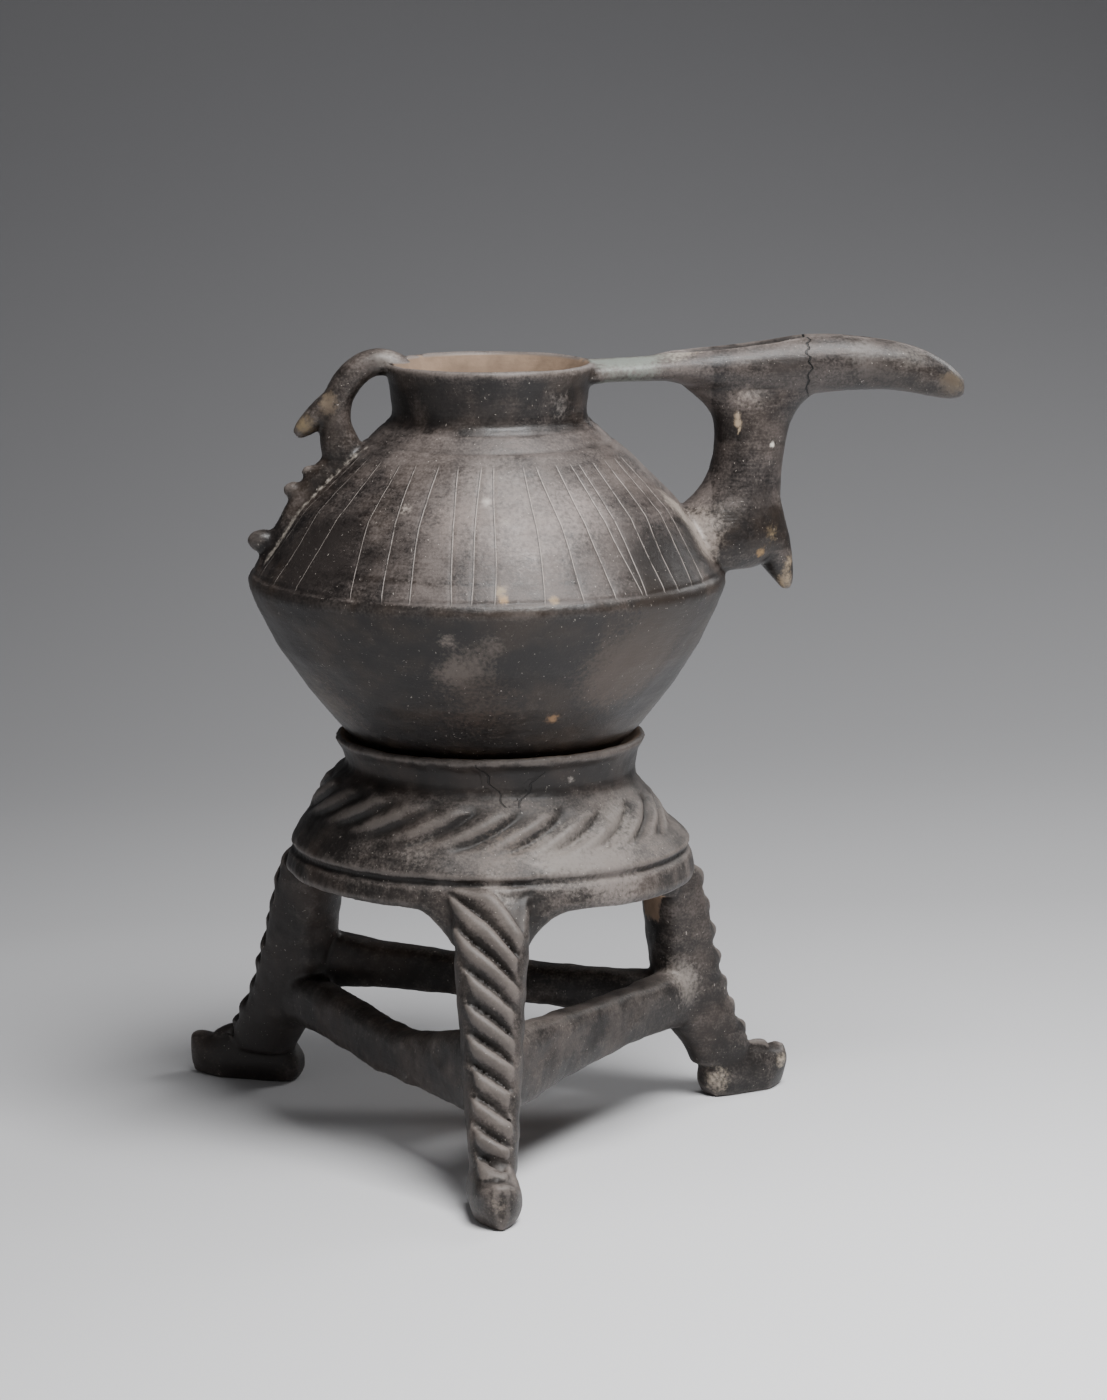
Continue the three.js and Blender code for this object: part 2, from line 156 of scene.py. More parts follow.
def limb(name, rows, sides=20, heading=None, square=1.0):
    rows = [rows[0], held(rows[0], rows[1]), *rows[1:-1], held(rows[-1], rows[-2]), rows[-1]]
    turns = headings_of(rows, heading)
    x, z, half_width, half_height = rows[0]
    piece = add_alone(name, bpy.ops.mesh.primitive_circle_add, vertices=sides, radius=MM,
                      fill_type="NGON", location=place(x, 0, z), rotation=(0, turns[0], 0))
    for corner in piece.data.vertices:
        corner.co = [math.copysign(MM * abs(part / MM) ** square, part) for part in corner.co]
    piece.scale = (half_height, half_width, 1)
    bpy.ops.object.transform_apply(location=True, rotation=True, scale=True)
    bpy.ops.object.mode_set(mode="EDIT")
    bpy.ops.mesh.select_all(action="SELECT")
    for number in range(1, len(rows)):
        next_x, next_z, next_width, next_height = rows[number]
        middle = place(next_x, 0, next_z)
        step = ((next_x - x) * MM, 0, (next_z - z) * MM)
        bpy.ops.mesh.extrude_region_move(TRANSFORM_OT_translate={"value": step})
        bpy.ops.transform.rotate(value=turns[number - 1] - turns[number], orient_axis="Y",
                                 center_override=middle)
        taller = next_height / half_height
        bpy.ops.transform.resize(value=(taller, next_width / half_width, taller),
                                 center_override=middle)
        x, z, half_width, half_height = next_x, next_z, next_width, next_height
    bpy.ops.object.mode_set(mode="OBJECT")
    finish_with(piece, "SUBSURF", levels=1, render_levels=1)
    return piece


# %% [markdown]
# Low relief is drawn by moving the corners of the mesh, much as in sculpting. numpy reads and writes
# all of them at once, which is fast enough for some hundred thousand corners.

# %% Reading and writing the corners of a mesh, in mm from the axis
def corners_of(piece):
    flat = np.empty(len(piece.data.vertices) * 3)
    piece.data.vertices.foreach_get("co", flat)
    return (flat.reshape(-1, 3) - np.array(place(0, 0, 0))) / MM


def set_corners(piece, points):
    piece.data.vertices.foreach_set("co", (points * MM + np.array(place(0, 0, 0))).ravel())
    piece.data.update()


def normals_of(piece):
    flat = np.empty(len(piece.data.vertices) * 3)
    piece.data.vertices.foreach_get("normal", flat)
    return flat.reshape(-1, 3)


def turned_by(piece, degrees, centre=(0, 0)):
    angle = math.radians(degrees)
    points = corners_of(piece)
    x, y = (points[:, :2] - centre).T
    points[:, 0] = centre[0] + x * math.cos(angle) - y * math.sin(angle)
    points[:, 1] = centre[1] + x * math.sin(angle) + y * math.cos(angle)
    set_corners(piece, points)


def triangles_of(piece):
    return sum(len(face.vertices) - 2 for face in piece.data.polygons)


# %% [markdown]
# ## The jar's body
#
# The wall leans out to a sharp shoulder edge, comes in steeply to a ridge at the foot of the neck,
# and the neck flares to the rim. The hand-built body sags a little towards the handle's side.

# %% The jar's body
lower_wall = [(186, 44), (195, 58), (215, 77.6), (235, 93.7), (255, 106.9), (275, 116.6),
              (285, 120.5), (288, 120.7)]
shoulder_wall = [(291, 118.9), (292, 118.2), (307, 108), (326, 95.8), (338, 83.7), (350, 71),
                 (351, 69.8)]
neck_wall = [(355.6, 64.4), (357.4, 61.7), (366, 52.4), (368.6, 49.2), (373, 48.8), (387, 50.6),
             (394.6, 52.9), (396.6, 51.7)]
jar_profile = lower_wall + shoulder_wall + neck_wall
jar_body = coil_built("jar_body", jar_profile)

# How far the body sags, at which height, and how far above and below it the sag is felt
SAG = 1.5
SAG_HEIGHT = 284
SAG_REACH = 74
points = corners_of(jar_body)
points[:, 0] -= SAG * np.clip(1 - np.abs(points[:, 2] - SAG_HEIGHT) / SAG_REACH, 0, None)
set_corners(jar_body, points)


def jar_radius(height):
    heights, radii = zip(*jar_profile)
    return np.interp(height, heights, radii)


# %% [markdown]
# ## The spout
#
# A flat strap bridges from the rim to a long beak. An upright pipe carries the beak and ends below
# in a hooked spur. All four are limbs that overlap, so the remesh can melt them into one form.

# %% The strap, the beak, the riser and its spur
strap = limb("strap", [(44, 389.5, 21, 6.6), (52, 390.8, 18.5, 6), (62, 391.2, 16.5, 5.6),
                       (76, 391.6, 16, 5.8), (90, 392.2, 16, 6.4), (100, 392.5, 16, 6.6)],
             heading=ALONG_X, square=0.8)

# Rows of x, underside, top and half width
beak_rows = [(80, 387, 397.5, 15), (93, 385, 400.8, 15.8), (108, 380.5, 403.6, 16.6),
             (124, 377, 405.4, 17), (140, 376, 407.2, 17), (156, 376.6, 408.9, 16),
             (172, 378.4, 408.9, 14.8), (188, 379.2, 407.7, 13.8), (204, 379.3, 405.3, 12.6),
             (219, 376.9, 401.8, 11), (230, 374.3, 396.2, 9.6), (238, 373.2, 390, 7.8),
             (243, 375, 384.4, 4.6)]
beak = limb("beak", [(x, (low + high) / 2, width, (high - low) / 2)
                     for x, low, high, width in beak_rows], heading=ALONG_X)

# Rows of height, middle, half depth and half width
riser_rows = [(290.5, 106, 31, 22), (297, 112, 36, 25), (306, 115, 36.5, 25.5),
              (317, 120.5, 29.3, 22), (327, 127, 21.6, 18.8), (340, 131, 18.1, 17),
              (354, 132.9, 18.2, 16.8), (364, 134, 19.6, 16.7), (370, 134.3, 22.6, 16.5),
              (376, 134.4, 28, 15.8), (382, 135, 37, 14), (386, 135, 40, 12)]
spur_rows = [(277.9, 152.1, 1.8, 1.9), (280, 151.8, 3.7, 3.9), (284, 150.4, 5.5, 5.6),
             (289, 148, 7.8, 7.8), (295, 146, 9.2, 10.4), (303, 142.2, 12, 13.2),
             (312, 137.5, 14.4, 15.6), (324, 133.5, 15.4, 16), (334, 132.5, 14.5, 14)]
riser, spur = [limb(name, [(x, z, width, depth) for z, x, depth, width in rows], heading=UPWARD)
               for name, rows in (("riser", riser_rows), ("spur", spur_rows))]

# %% [markdown]
# ## The handle
#
# The handle is a finger loop with a beak-like spur behind it. A raised band with three knobs runs
# from its foot down the shoulder, like a spine.

# %% The handle, its spur, the band and the knobs
handle = limb("handle", [(-44, 393.5, 12, 6.4), (-51.5, 397.4, 9.6, 7.1), (-59.5, 397.4, 8.4, 7.4),
                         (-67, 393.2, 8.4, 7.5), (-73, 386.6, 8.4, 7.6), (-76.8, 379, 8.4, 7.6),
                         (-78, 371, 8.4, 7.5), (-77.4, 363.5, 8.8, 8), (-75.2, 354, 10, 11),
                         (-72, 346, 9, 9)], square=0.9)
handle_spur = limb("handle_spur", [(-77, 378, 7, 7.6), (-84.6, 372.4, 6.4, 6.9),
                                   (-90.6, 367.2, 5.4, 5.8), (-94.6, 363.4, 4.3, 4.6),
                                   (-97.8, 361, 2.2, 2.6)])

# How far the band stands proud of the shoulder, by height
band_rise = [(291, 1.6), (304, 4.5), (314, 5.2), (322, 6), (330, 8.4), (338, 8.7), (346, 9.4),
             (352, 10.4)]
band = limb("band", [(-jar_radius(height), height, 9, rise) for height, rise in band_rise])


def knob(name, x, z, radius, length, tilt):
    ball = add_alone(name, bpy.ops.mesh.primitive_uv_sphere_add, segments=24, ring_count=16,
                     radius=MM, location=place(x, 0, z), rotation=(0, -math.radians(tilt), 0))
    ball.scale = (length, radius, radius)
    bpy.ops.object.transform_apply(location=True, rotation=True, scale=True)
    return ball


knobs = [knob("top_knob", -90.5, 342.6, 3.3, 4.6, 5), knob("middle_knob", -98, 333, 4.6, 6.4, -8),
         knob("low_knob", -113.5, 307.6, 6.2, 9.2, -8)]

# %% [markdown]
# ## Fusing and hollowing
#
# Joined limbs still pass through each other. A voxel remesh keeps only the outer skin, and a few
# rounds of smoothing turn the sharp meeting lines into the soft fillets that a thumb leaves. The
# hollow is cut afterwards with a Boolean, so the wall keeps its true thickness and the lip its edge.

# %% Fusing the jar and cutting its hollows
GRAIN = 1.25


def fused(name, pieces, rounds):
    bpy.ops.object.select_all(action="DESELECT")
    for piece in pieces:
        piece.select_set(True)
    bpy.context.view_layer.objects.active = pieces[0]
    bpy.ops.object.join()
    whole = bpy.context.object
    whole.name = name
    finish_with(whole, "REMESH", mode="VOXEL", voxel_size=GRAIN * MM)
    finish_with(whole, "SMOOTH", factor=0.5, iterations=rounds)
    return whole


def carved(piece, tool):
    finish_with(piece, "BOOLEAN", operation="DIFFERENCE", solver="MANIFOLD", object=tool)
    bpy.data.objects.remove(tool)


jar = fused("jar", [jar_body, strap, beak, riser, spur, handle, handle_spur, band] + knobs, 7)
print("jar, fused:", triangles_of(jar), "triangles")
carved(jar, coil_built("jar_cavity", [
    (191.5, 40), (191.6, 41), (200, 54), (236, 86), (272, 109), (287, 113.6), (305, 103), (328, 85),
    (350.5, 62), (362, 47), (370, 43.3), (383, 44.3), (394.4, 48.9), (395.6, 49.7), (396.4, 50.9),
    (397.2, 53)]))
carved(jar, limb("bore", [(98, 304, 13, 12), (112, 309, 12, 11), (124, 320, 10.5, 10.5),
                          (130, 336, 10.5, 10.5), (132, 360, 10.5, 10.5), (132, 398, 8, 10.5)]))

# The open channel along the beak, in rows of x, floor and half width, cut by a tall round bar
CUTTER_HALF_HEIGHT = 14
CUTTER_WIDENING = 1.2
channel_rows = [(88, 399.6, 6), (97, 394.5, 8), (112, 389.5, 9), (150, 392.5, 8), (160, 401, 4.4),
                (190, 402.6, 3.2), (219, 397.6, 2.8), (231, 391.4, 2.6), (240, 384.8, 2.4),
                (248, 377, 2.4)]
carved(jar, limb("channel", [
    (x, floor + CUTTER_HALF_HEIGHT, CUTTER_WIDENING * width, CUTTER_HALF_HEIGHT)
    for x, floor, width in channel_rows], heading=ALONG_X))
print("jar, hollow:", triangles_of(jar), "triangles")

# %% [markdown]
# ## The stand's legs
#
# Each leg is a flattened shaft that splays outwards, with a boot-like foot. It is grown along +X and
# then turned to its place, so one set of rows serves all three.

# %% The legs and their feet
legs = {
    "front": dict(azimuth=-97, heel=131, toe=188, splay=8, bow=0, slim=0, drift=1, turn=8, joint=0),
    "right": dict(azimuth=22, heel=127, toe=179, splay=0, bow=1, slim=2.8, drift=0, turn=5, joint=1),
    "left": dict(azimuth=140, heel=136, toe=199, splay=16, bow=1.5, slim=0, drift=-17, turn=13,
                 joint=6),
}
LEG_TOP = 149
LEG_BOTTOM = 17
# Rows of height, inner radius, outer radius, half width and how far the ridges slope
leg_rows = [(17, 123, 157, 11.5, 0), (28, 117.5, 157.5, 12.2, 0.5), (34, 112.5, 154, 12.8, 0.7),
            (41, 105.5, 150, 13.4, 0.8), (52, 101, 144.4, 14, 0.8), (62, 99, 140, 14.8, 0.8),
            (77, 96.4, 134.6, 15.8, 0.9), (93, 95, 130.4, 16.9, 1), (109, 93.4, 127, 17.8, 1.1),
            (125, 91.6, 122.6, 18.8, 1.2), (134, 89, 115, 19.6, 1.2), (142, 87, 108.4, 20.6, 1.1),
            (149, 85, 101, 21.4, 0.8)]
# Rows of share of the way from heel to toe, underside, top and half width
foot_rows = [(0, 5, 14.5, 6), (0.07, 0.8, 20.5, 9.8), (0.2, 0, 29, 11.8), (0.62, 0, 29.5, 13),
             (0.78, 0, 20.6, 12.8), (0.88, 0, 22, 11.4), (0.95, 0.4, 23, 8.8), (1, 3.4, 21.6, 4.8)]


def leg_splay(leg, height):
    fall = (LEG_TOP - height) / LEG_TOP
    return leg["splay"] * (0.15 + 0.85 * fall) + leg["bow"] * np.sin(math.pi * fall)


def leg_drift(leg, height):
    return leg["drift"] * (LEG_TOP - height) / LEG_TOP


def leg_shaft(name, leg):
    rows = [((inner + outer - leg["slim"]) / 2, height, half_width, (outer - leg["slim"] - inner) / 2)
            for height, inner, outer, half_width, _ in leg_rows]
    shaft = limb(name + "_shaft", rows, heading=UPWARD, square=0.72)
    points = corners_of(shaft)
    points[:, 0] += leg_splay(leg, points[:, 2])
    points[:, 1] += leg_drift(leg, points[:, 2])
    set_corners(shaft, points)
    return shaft


def foot(name, leg):
    length = leg["toe"] - leg["heel"]
    middle = leg["heel"] + length / 2
    rows = [(middle + (share - 0.5) * length, (low + high) / 2, half_width, (high - low) / 2)
            for share, low, high, half_width in foot_rows]
    boot = limb(name + "_foot", rows, heading=ALONG_X, square=0.7)
    points = corners_of(boot)
    # A sole is flat: the round underside is pressed onto the floor, and the top is pinched narrower
    points[:, 2] = np.where(points[:, 2] < 5, np.maximum(points[:, 2] * 1.8 - 4, 0), points[:, 2])
    points[:, 1] *= 1.04 - 0.3 * np.clip(points[:, 2] / 28, 0, 1) ** 2
    # The toe is shaped like a boat's bow, narrow at the keel
    bow = np.clip((points[:, 0] - middle) / length * 4 - 0.8, 0, 1)
    points[:, 1] *= 1 - 0.62 * bow * np.clip(1 - points[:, 2] / 15, 0, 1)
    points[:, 1] += leg["drift"]
    set_corners(boot, points)
    turned_by(boot, leg["turn"], (middle, leg["drift"]))
    return boot


stand_parts = []
for name, leg in legs.items():
    for part in (leg_shaft(name, leg), foot(name, leg)):
        turned_by(part, leg["azimuth"])
        stand_parts.append(part)

# %% [markdown]
# ## The stand's ring
#
# The ring is turned: a collar with a flared lip, a rounded belt for the rope of strands, a sloping
# ledge and a grooved apron. The apron's lower edge arches down to each leg like webbed skin, so its
# corners are lowered where a leg is near.

# %% The ring, the apron's webs and the struts
# Rows of height, radius, share of the web's drop and share of the belt's tilt
ring_rows = [(136, 88, 1, 0), (136, 102.4, 1, 0), (139, 104.4, 0.7, 0), (147, 102.4, 0.15, 0),
             (150.6, 99.2, 0.1, 0), (152.6, 101.4, 0.1, 0), (155.2, 100.8, 0.1, 0.1),
             (161, 96.2, 0, 0.4), (165.8, 91.4, 0, 0.7), (169.4, 88.8, 0, 0.9), (175, 85.8, 0, 1),
             (181, 82, 0, 1), (185.6, 78, 0, 0.9), (188.6, 74.6, 0, 0.7), (192.6, 73.4, 0, 0.3),
             (201, 75.4, 0, 0), (206, 78.9, 0, 0), (208, 77.4, 0, 0)]
ring = coil_built("ring", [row[:2] for row in ring_rows])
WEB_DROP = 22
WEB_REACH = 24
HALF_LEG = 17
APRON_TILT = 2
BELT_TILT = 5.5
BELT_TILT_AZIMUTH = -7


def belt_drop(z, angle):
    """The belt leans: it sits higher on the left than on the right."""
    share = np.interp(z, [row[0] for row in ring_rows], [row[3] for row in ring_rows])
    return share * BELT_TILT * np.cos(angle - math.radians(BELT_TILT_AZIMUTH))


def angle_between(angle, azimuth):
    turn = np.abs(angle - math.radians(azimuth)) % (2 * math.pi)
    return np.minimum(turn, 2 * math.pi - turn)


points = corners_of(ring)
x, y, z = points.T
radius, angle = np.hypot(x, y), np.arctan2(y, x)
to_leg = np.min([angle_between(angle, leg["azimuth"]) * radius for leg in legs.values()], axis=0)
near_leg = np.clip(1 - np.maximum(to_leg - HALF_LEG, 0) / WEB_REACH, 0, None)
drop = np.interp(z, [row[0] for row in ring_rows], [row[2] for row in ring_rows])
web = drop * WEB_DROP * near_leg ** 2 - (drop > 0) * 2 * near_leg
points[:, 2] -= web + drop * APRON_TILT * np.cos(angle) + belt_drop(z, angle)
set_corners(ring, points)
stand_parts.append(ring)

# Rows of share of the way between two legs, underside and top of the bar
strut_rows = {
    ("left", "front"): [(0.02, 37, 66), (0.12, 38, 65), (0.25, 38, 64.5), (0.4, 33.5, 62),
                        (0.54, 34, 60), (0.68, 35, 64), (0.82, 36, 73.5), (0.96, 36, 80)],
    ("front", "right"): [(0.04, 38, 80), (0.2, 39.5, 78), (0.38, 42.4, 75.6), (0.56, 43.4, 73.6),
                         (0.76, 44, 71.4), (0.9, 42, 71.6), (0.98, 40, 74)],
    ("right", "left"): [(0.03, 44, 71), (0.14, 45, 68), (0.34, 49, 71.6), (0.54, 53, 75.4),
                        (0.68, 55, 79), (0.8, 57.4, 81.6), (0.9, 56.6, 87), (0.98, 53, 92)],
}


# The struts meet the legs this far out, and this share of the way down their splay and drift
STRUT_RADIUS = 113
STRUT_FALL = 0.62
STRUT_THICKNESS = 18


def strut_end(leg):
    out = STRUT_RADIUS + leg["splay"] * STRUT_FALL + leg["joint"]
    aside = leg["drift"] * STRUT_FALL
    angle = math.radians(leg["azimuth"])
    return np.array([out * math.cos(angle) - aside * math.sin(angle),
                     out * math.sin(angle) + aside * math.cos(angle)])


for (first, second), rows in strut_rows.items():
    start, finish = strut_end(legs[first]), strut_end(legs[second])
    span = np.hypot(*(finish - start))
    bar = limb(f"strut_{first}_{second}", [
        (share * span, (low + high) / 2,
         STRUT_THICKNESS / 2 * (1 + 0.35 * abs(2 * share - 1) ** 3), (high - low) / 2)
        for share, low, high in rows], heading=ALONG_X, square=0.66)
    points = corners_of(bar)
    points[:, :2] += start
    set_corners(bar, points)
    turned_by(bar, math.degrees(math.atan2(*(finish - start)[::-1])), tuple(start))
    stand_parts.append(bar)

stand = fused("stand", stand_parts, 3)
print("stand, fused:", triangles_of(stand), "triangles")
# The collar's bore ends at this height, and is wider than the jar's wall there by the gap
SEAT_HEIGHT = 201.5
SEAT_GAP = 0.5
SEAT = float(np.interp(SEAT_HEIGHT, *zip(*lower_wall))) + SEAT_GAP
carved(stand, coil_built("stand_cavity", [
    (104, 92.6), (140, 92.6), (152, 89), (163, 82), (173, 75), (183, 68.4), (192, SEAT),
    (SEAT_HEIGHT, SEAT), (205, 71), (207, 73.6), (208, 76), (208.6, 79)]))
print("stand, hollow:", triangles_of(stand), "triangles")

# %% [markdown]
# ## Relief in the clay
#
# Strands, ridges and scratches follow simple rules. A strand or ridge is a wave with a sharp groove
# and a crest near its upper edge. Where a pattern fades out, its depth is multiplied by a soft step
# from 0 to 1. A little slow waviness goes over everything, because no hand keeps a surface true.

# %% Waves, soft steps and waviness
def soft_step(low, high, value):
    share = np.clip((value - low) / (high - low), 0, 1)
    return share * share * (3 - 2 * share)


def window(value, low, high, fade):
    return soft_step(low - fade, low + fade, value) * (1 - soft_step(high - fade, high + fade, value))


def waviness(points, seed, longest):
    """A sum of slow sine waves in seeded directions, between about -1 and 1."""
    chance = np.random.default_rng(seed)
    total = np.zeros(len(points))
    for _ in range(10):
        direction = chance.normal(size=3)
        direction /= np.linalg.norm(direction)
        length = longest * chance.uniform(0.35, 1)
        total += np.sin(points @ direction * 2 * math.pi / length + chance.uniform(0, 6.28))
    return total / 5


# %% The rope of strands and the ridged legs
STRANDS = 23
STRAND_RELIEF = 2.6
# Rows of height, strand relief and how many strands further round the slanting strand has come
strand_rows = [(163, 0, 0.1), (165.8, 0.6, 0.3), (169.4, 1, 0.6), (175, 1, 1.02), (181, 0.7, 1.41),
               (185.6, 0, 1.5), (188.6, 0, 1.5)]
RIDGES = 10
RIDGE_RELIEF = 3.0
RIDGE_SLOPE = 0.8
# Ridges stand a little closer together towards the foot
RIDGE_CROWDING = 1.12
FLUTE_WIDTH = 4.4
FLUTE_DEPTH = 0.14


def strand_push(points):
    heights, depths, slants = zip(*strand_rows)
    x, y, z = points.T
    radius, angle = np.hypot(x, y), np.arctan2(y, x)
    level = z + belt_drop(z, angle)
    share = (angle / (2 * math.pi) * STRANDS - np.interp(level, heights, slants)) % 1
    wave = -0.95 + 1.7 * np.sin(math.pi * share ** 1.25) ** 1.1
    on_belt = (radius > 70) & (level > 160) & (level < 192)
    pressed = 0.74 + 0.16 * waviness(points, 21, 60)
    return STRAND_RELIEF * pressed * np.interp(level, heights, depths) * on_belt * wave


def seen_from_leg(points, leg):
    """How far out each point lies along a leg's azimuth, and how far beside it."""
    angle = math.radians(-leg["azimuth"])
    return (points[:, 0] * math.cos(angle) - points[:, 1] * math.sin(angle),
            points[:, 0] * math.sin(angle) + points[:, 1] * math.cos(angle))


def ridge_push(points, leg):
    out, side = seen_from_leg(points, leg)
    height = points[:, 2]
    heights, inner, outer, widths, slopes = np.array(leg_rows).T
    half_width = np.interp(height, heights, widths)
    depth = np.interp(height, heights, (outer - leg["slim"] - inner) / 2)
    middle = np.interp(height, heights, inner) + depth + leg_splay(leg, height)
    side = side - leg_drift(leg, height)
    facing = (out - middle) / depth
    # A lobe lies flatter on its left and droops on its right
    bent = 0.72 * side + 0.02 * np.clip(side + 5, 0, 24) ** 2
    lean = RIDGE_SLOPE * np.interp(height, heights, slopes) * bent
    place_up = np.clip((height + lean - LEG_BOTTOM) / (LEG_TOP - LEG_BOTTOM), 0, 1)
    place_up = place_up ** (1 / RIDGE_CROWDING) * RIDGES
    share = place_up % 1
    wave = -1 + 1.75 * np.sin(math.pi * share ** 1.8) ** 0.55
    # Each lobe ends a little further in or out than the next, and the top ones reach onto the web
    number = np.floor(place_up)
    reach = half_width * np.interp(height, [40, 116, 140], [0.7, 0.78, 1.15])
    reach = reach + 1.2 * np.sin(number * 2.4 + leg["azimuth"])
    panel = (1 - soft_step(0.66, 1.04, np.abs(side) / reach)) * (0.9 + 0.14 * np.sin(number * 1.7))
    ends = soft_step(18, 24, height + lean) * (1 - soft_step(LEG_TOP - 4, LEG_TOP, height))
    near = (facing > 0.1) & (facing < 1.6) & (np.abs(side) < half_width * 1.4)
    return RIDGE_RELIEF * wave * panel * ends * near * np.clip(facing * 1.3, 0, 1)


def toe_push(points, leg):
    """Shallow flutes fan out over the tip of a foot."""
    middle = (leg["heel"] + leg["toe"]) / 2
    out, side = seen_from_leg(points, leg)
    out, side = out - middle, side - leg["drift"]
    turn = math.radians(-leg["turn"])
    along = out * math.cos(turn) - side * math.sin(turn)
    across = out * math.sin(turn) + side * math.cos(turn)
    half = (leg["toe"] - leg["heel"]) / 2
    fan = across / (1 + 0.02 * (half - along)) / FLUTE_WIDTH
    flutes = -1 + 2 * np.abs(np.sin(math.pi * fan))
    near = (along > 0) & (along < half + 6) & (np.abs(across) < 16) & (points[:, 2] < 30)
    fade = soft_step(0.4 * half, 0.7 * half, along)
    return FLUTE_DEPTH * flutes * near * fade * soft_step(4, 12, points[:, 2])


def relief_on(points):
    return strand_push(points) + sum(ridge_push(points, leg) + toe_push(points, leg)
                                     for leg in legs.values())


points, normals = corners_of(stand), normals_of(stand)
relief = relief_on(points)
x, y, z = points.T
groove = 0.5 * np.exp(-((z - 149.8) / 1.3) ** 2) - 0.4 * np.exp(-((z - 153.4) / 1.2) ** 2)
on_apron = (np.abs(np.hypot(x, y) - 100) < 5) & (z > 145)
outside = normals[:, 0] * x + normals[:, 1] * y > 0
relief = outside * (relief - on_apron * groove)
lumps = np.where(z < 134, 0.62, 0.3) * waviness(points, 5, 42) + 0.2 * waviness(points, 9, 15)
lumps *= np.where(z < 34, 0.4, 1)
points += normals * (relief + lumps)[:, None]
set_corners(stand, points)

# %% The scratched shoulder
# Azimuth of each scratch in degrees, at the top of the shoulder and at its bottom
scratch_lines = [(-167, -172), (-158, -161), (-147.5, -150), (-137, -132), (-128.5, -123),
                 (-118.5, -116.5), (-109.8, -105.7), (-100.5, -101.7), (-95.2, -96), (-83, -84),
                 (-77.6, -74), (-69, -66), (-62.3, -58), (-57.5, -56.5), (-50, -50.5),
                 (-42, -45), (-33, -38), (-26, -32)]
# The scratches behind follow on from the last one in front, leaving out the spout and the band
SCRATCHES_BEHIND = 16
FIRST_BEHIND = -22
STEP_BEHIND = 12.6
chance = np.random.default_rng(11)
for number in range(SCRATCHES_BEHIND):
    angle = FIRST_BEHIND + STEP_BEHIND * (number + 1) + chance.uniform(-2, 2)
    if 14 < angle < 171:
        scratch_lines.append((angle, angle + chance.uniform(-3, 3)))
SCRATCH_TOP = 352
SCRATCH_BOTTOM = 292
SCRATCH_DEPTH = 0.28
SCRATCH_REACH = 0.8


def from_scratch(points, line):
    """Signed distance in mm from one scratch, measured round the shoulder."""
    top, bottom = line
    down = (SCRATCH_TOP - points[:, 2]) / (SCRATCH_TOP - SCRATCH_BOTTOM)
    wander = 0.35 * np.sin(points[:, 2] * 0.09 + top)
    angle = np.degrees(np.arctan2(points[:, 1], points[:, 0]))
    gap = (angle - (top + (bottom - top) * down + wander) + 180) % 360 - 180
    return np.radians(gap) * np.hypot(points[:, 0], points[:, 1])


def scratch_distances(points):
    gaps = np.array([from_scratch(points, line) for line in scratch_lines])
    nearest = np.abs(gaps).argmin(axis=0)
    return gaps[nearest, np.arange(len(points))], nearest


points, normals = corners_of(jar), normals_of(jar)
x, y, z = points.T
radius = np.hypot(x, y)
on_wall = (normals[:, 0] * x + normals[:, 1] * y > 0) & (np.abs(radius - jar_radius(z)) < 2.5)
gap, _ = scratch_distances(points)
scratch = np.exp(-(gap / SCRATCH_REACH) ** 2) * window(z, SCRATCH_BOTTOM, SCRATCH_TOP - 1, 1.5)
ring_lines = sum(depth * np.exp(-((z - height) / 0.8) ** 2)
                 for height, depth in ((292.2, 0.6), (357.6, 0.5), (365.5, 0.5)))
push = 0.3 * waviness(points, 3, 60) + 0.1 * waviness(points, 8, 16)
points += normals * (push - on_wall * (SCRATCH_DEPTH * scratch + 0.8 * ring_lines))[:, None]
set_corners(jar, points)

# %% Thinning to the triangle budget
# The feet are pressed flat on the floor, and nothing swells past the size that the CAD gives
BUDGET = 192000
INSIDE_BOX = 0.05
low_corner, high_corner = [(np.array(corner) - place(0, 0, 0)) / MM for corner in cad_box]
for piece in (jar, stand):
    set_corners(piece, np.clip(corners_of(piece), low_corner + INSIDE_BOX,
                               high_corner - INSIDE_BOX))
    finish_with(piece, "DECIMATE", ratio=BUDGET / triangles_of(piece))
    alone(piece)
    bpy.ops.object.shade_smooth_by_angle(angle=math.radians(55))
    print(piece.name, "thinned:", triangles_of(piece), "triangles")

# %% [markdown]
# ## Wear, stains, painted shade and lines
#
# A worn pot is lightest where hands and shelves have rubbed it: on edges, crests and tips. How far a
# corner of the mesh stands out from its neighbours tells where that is; where a corner sits below its
# neighbours, the recess is painted darker as shade. Stains are kept as a short list of places, with a
# few dark patches of painted shade on the sides away from the lamp, and every corner takes the colour
# of the patches that it lies in. All this is stored on the mesh as attributes, which the materials
# read.

# %% How far each corner stands proud of its neighbours
def proudness(piece, rounds=2):
    points, normals = corners_of(piece), normals_of(piece)
    ends = np.empty(len(piece.data.edges) * 2, dtype=np.int64)
    piece.data.edges.foreach_get("vertices", ends)
    first, second = np.concatenate([ends.reshape(-1, 2), ends.reshape(-1, 2)[:, ::-1]]).T
    count = np.bincount(first, minlength=len(points)).clip(1)

    def mean_of_neighbours(values):
        return np.bincount(first, weights=values[second], minlength=len(points)) / count

    middle = np.stack([mean_of_neighbours(points[:, axis]) for axis in range(3)], axis=1)
    proud = ((points - middle) * normals).sum(axis=1)
    for _ in range(rounds):
        proud = 0.5 * proud + 0.5 * mean_of_neighbours(proud)
    return proud


def keep_on_corners(piece, name, values):
    attribute = piece.data.attributes.new(name, "FLOAT", "POINT")
    attribute.data.foreach_set("value", values)
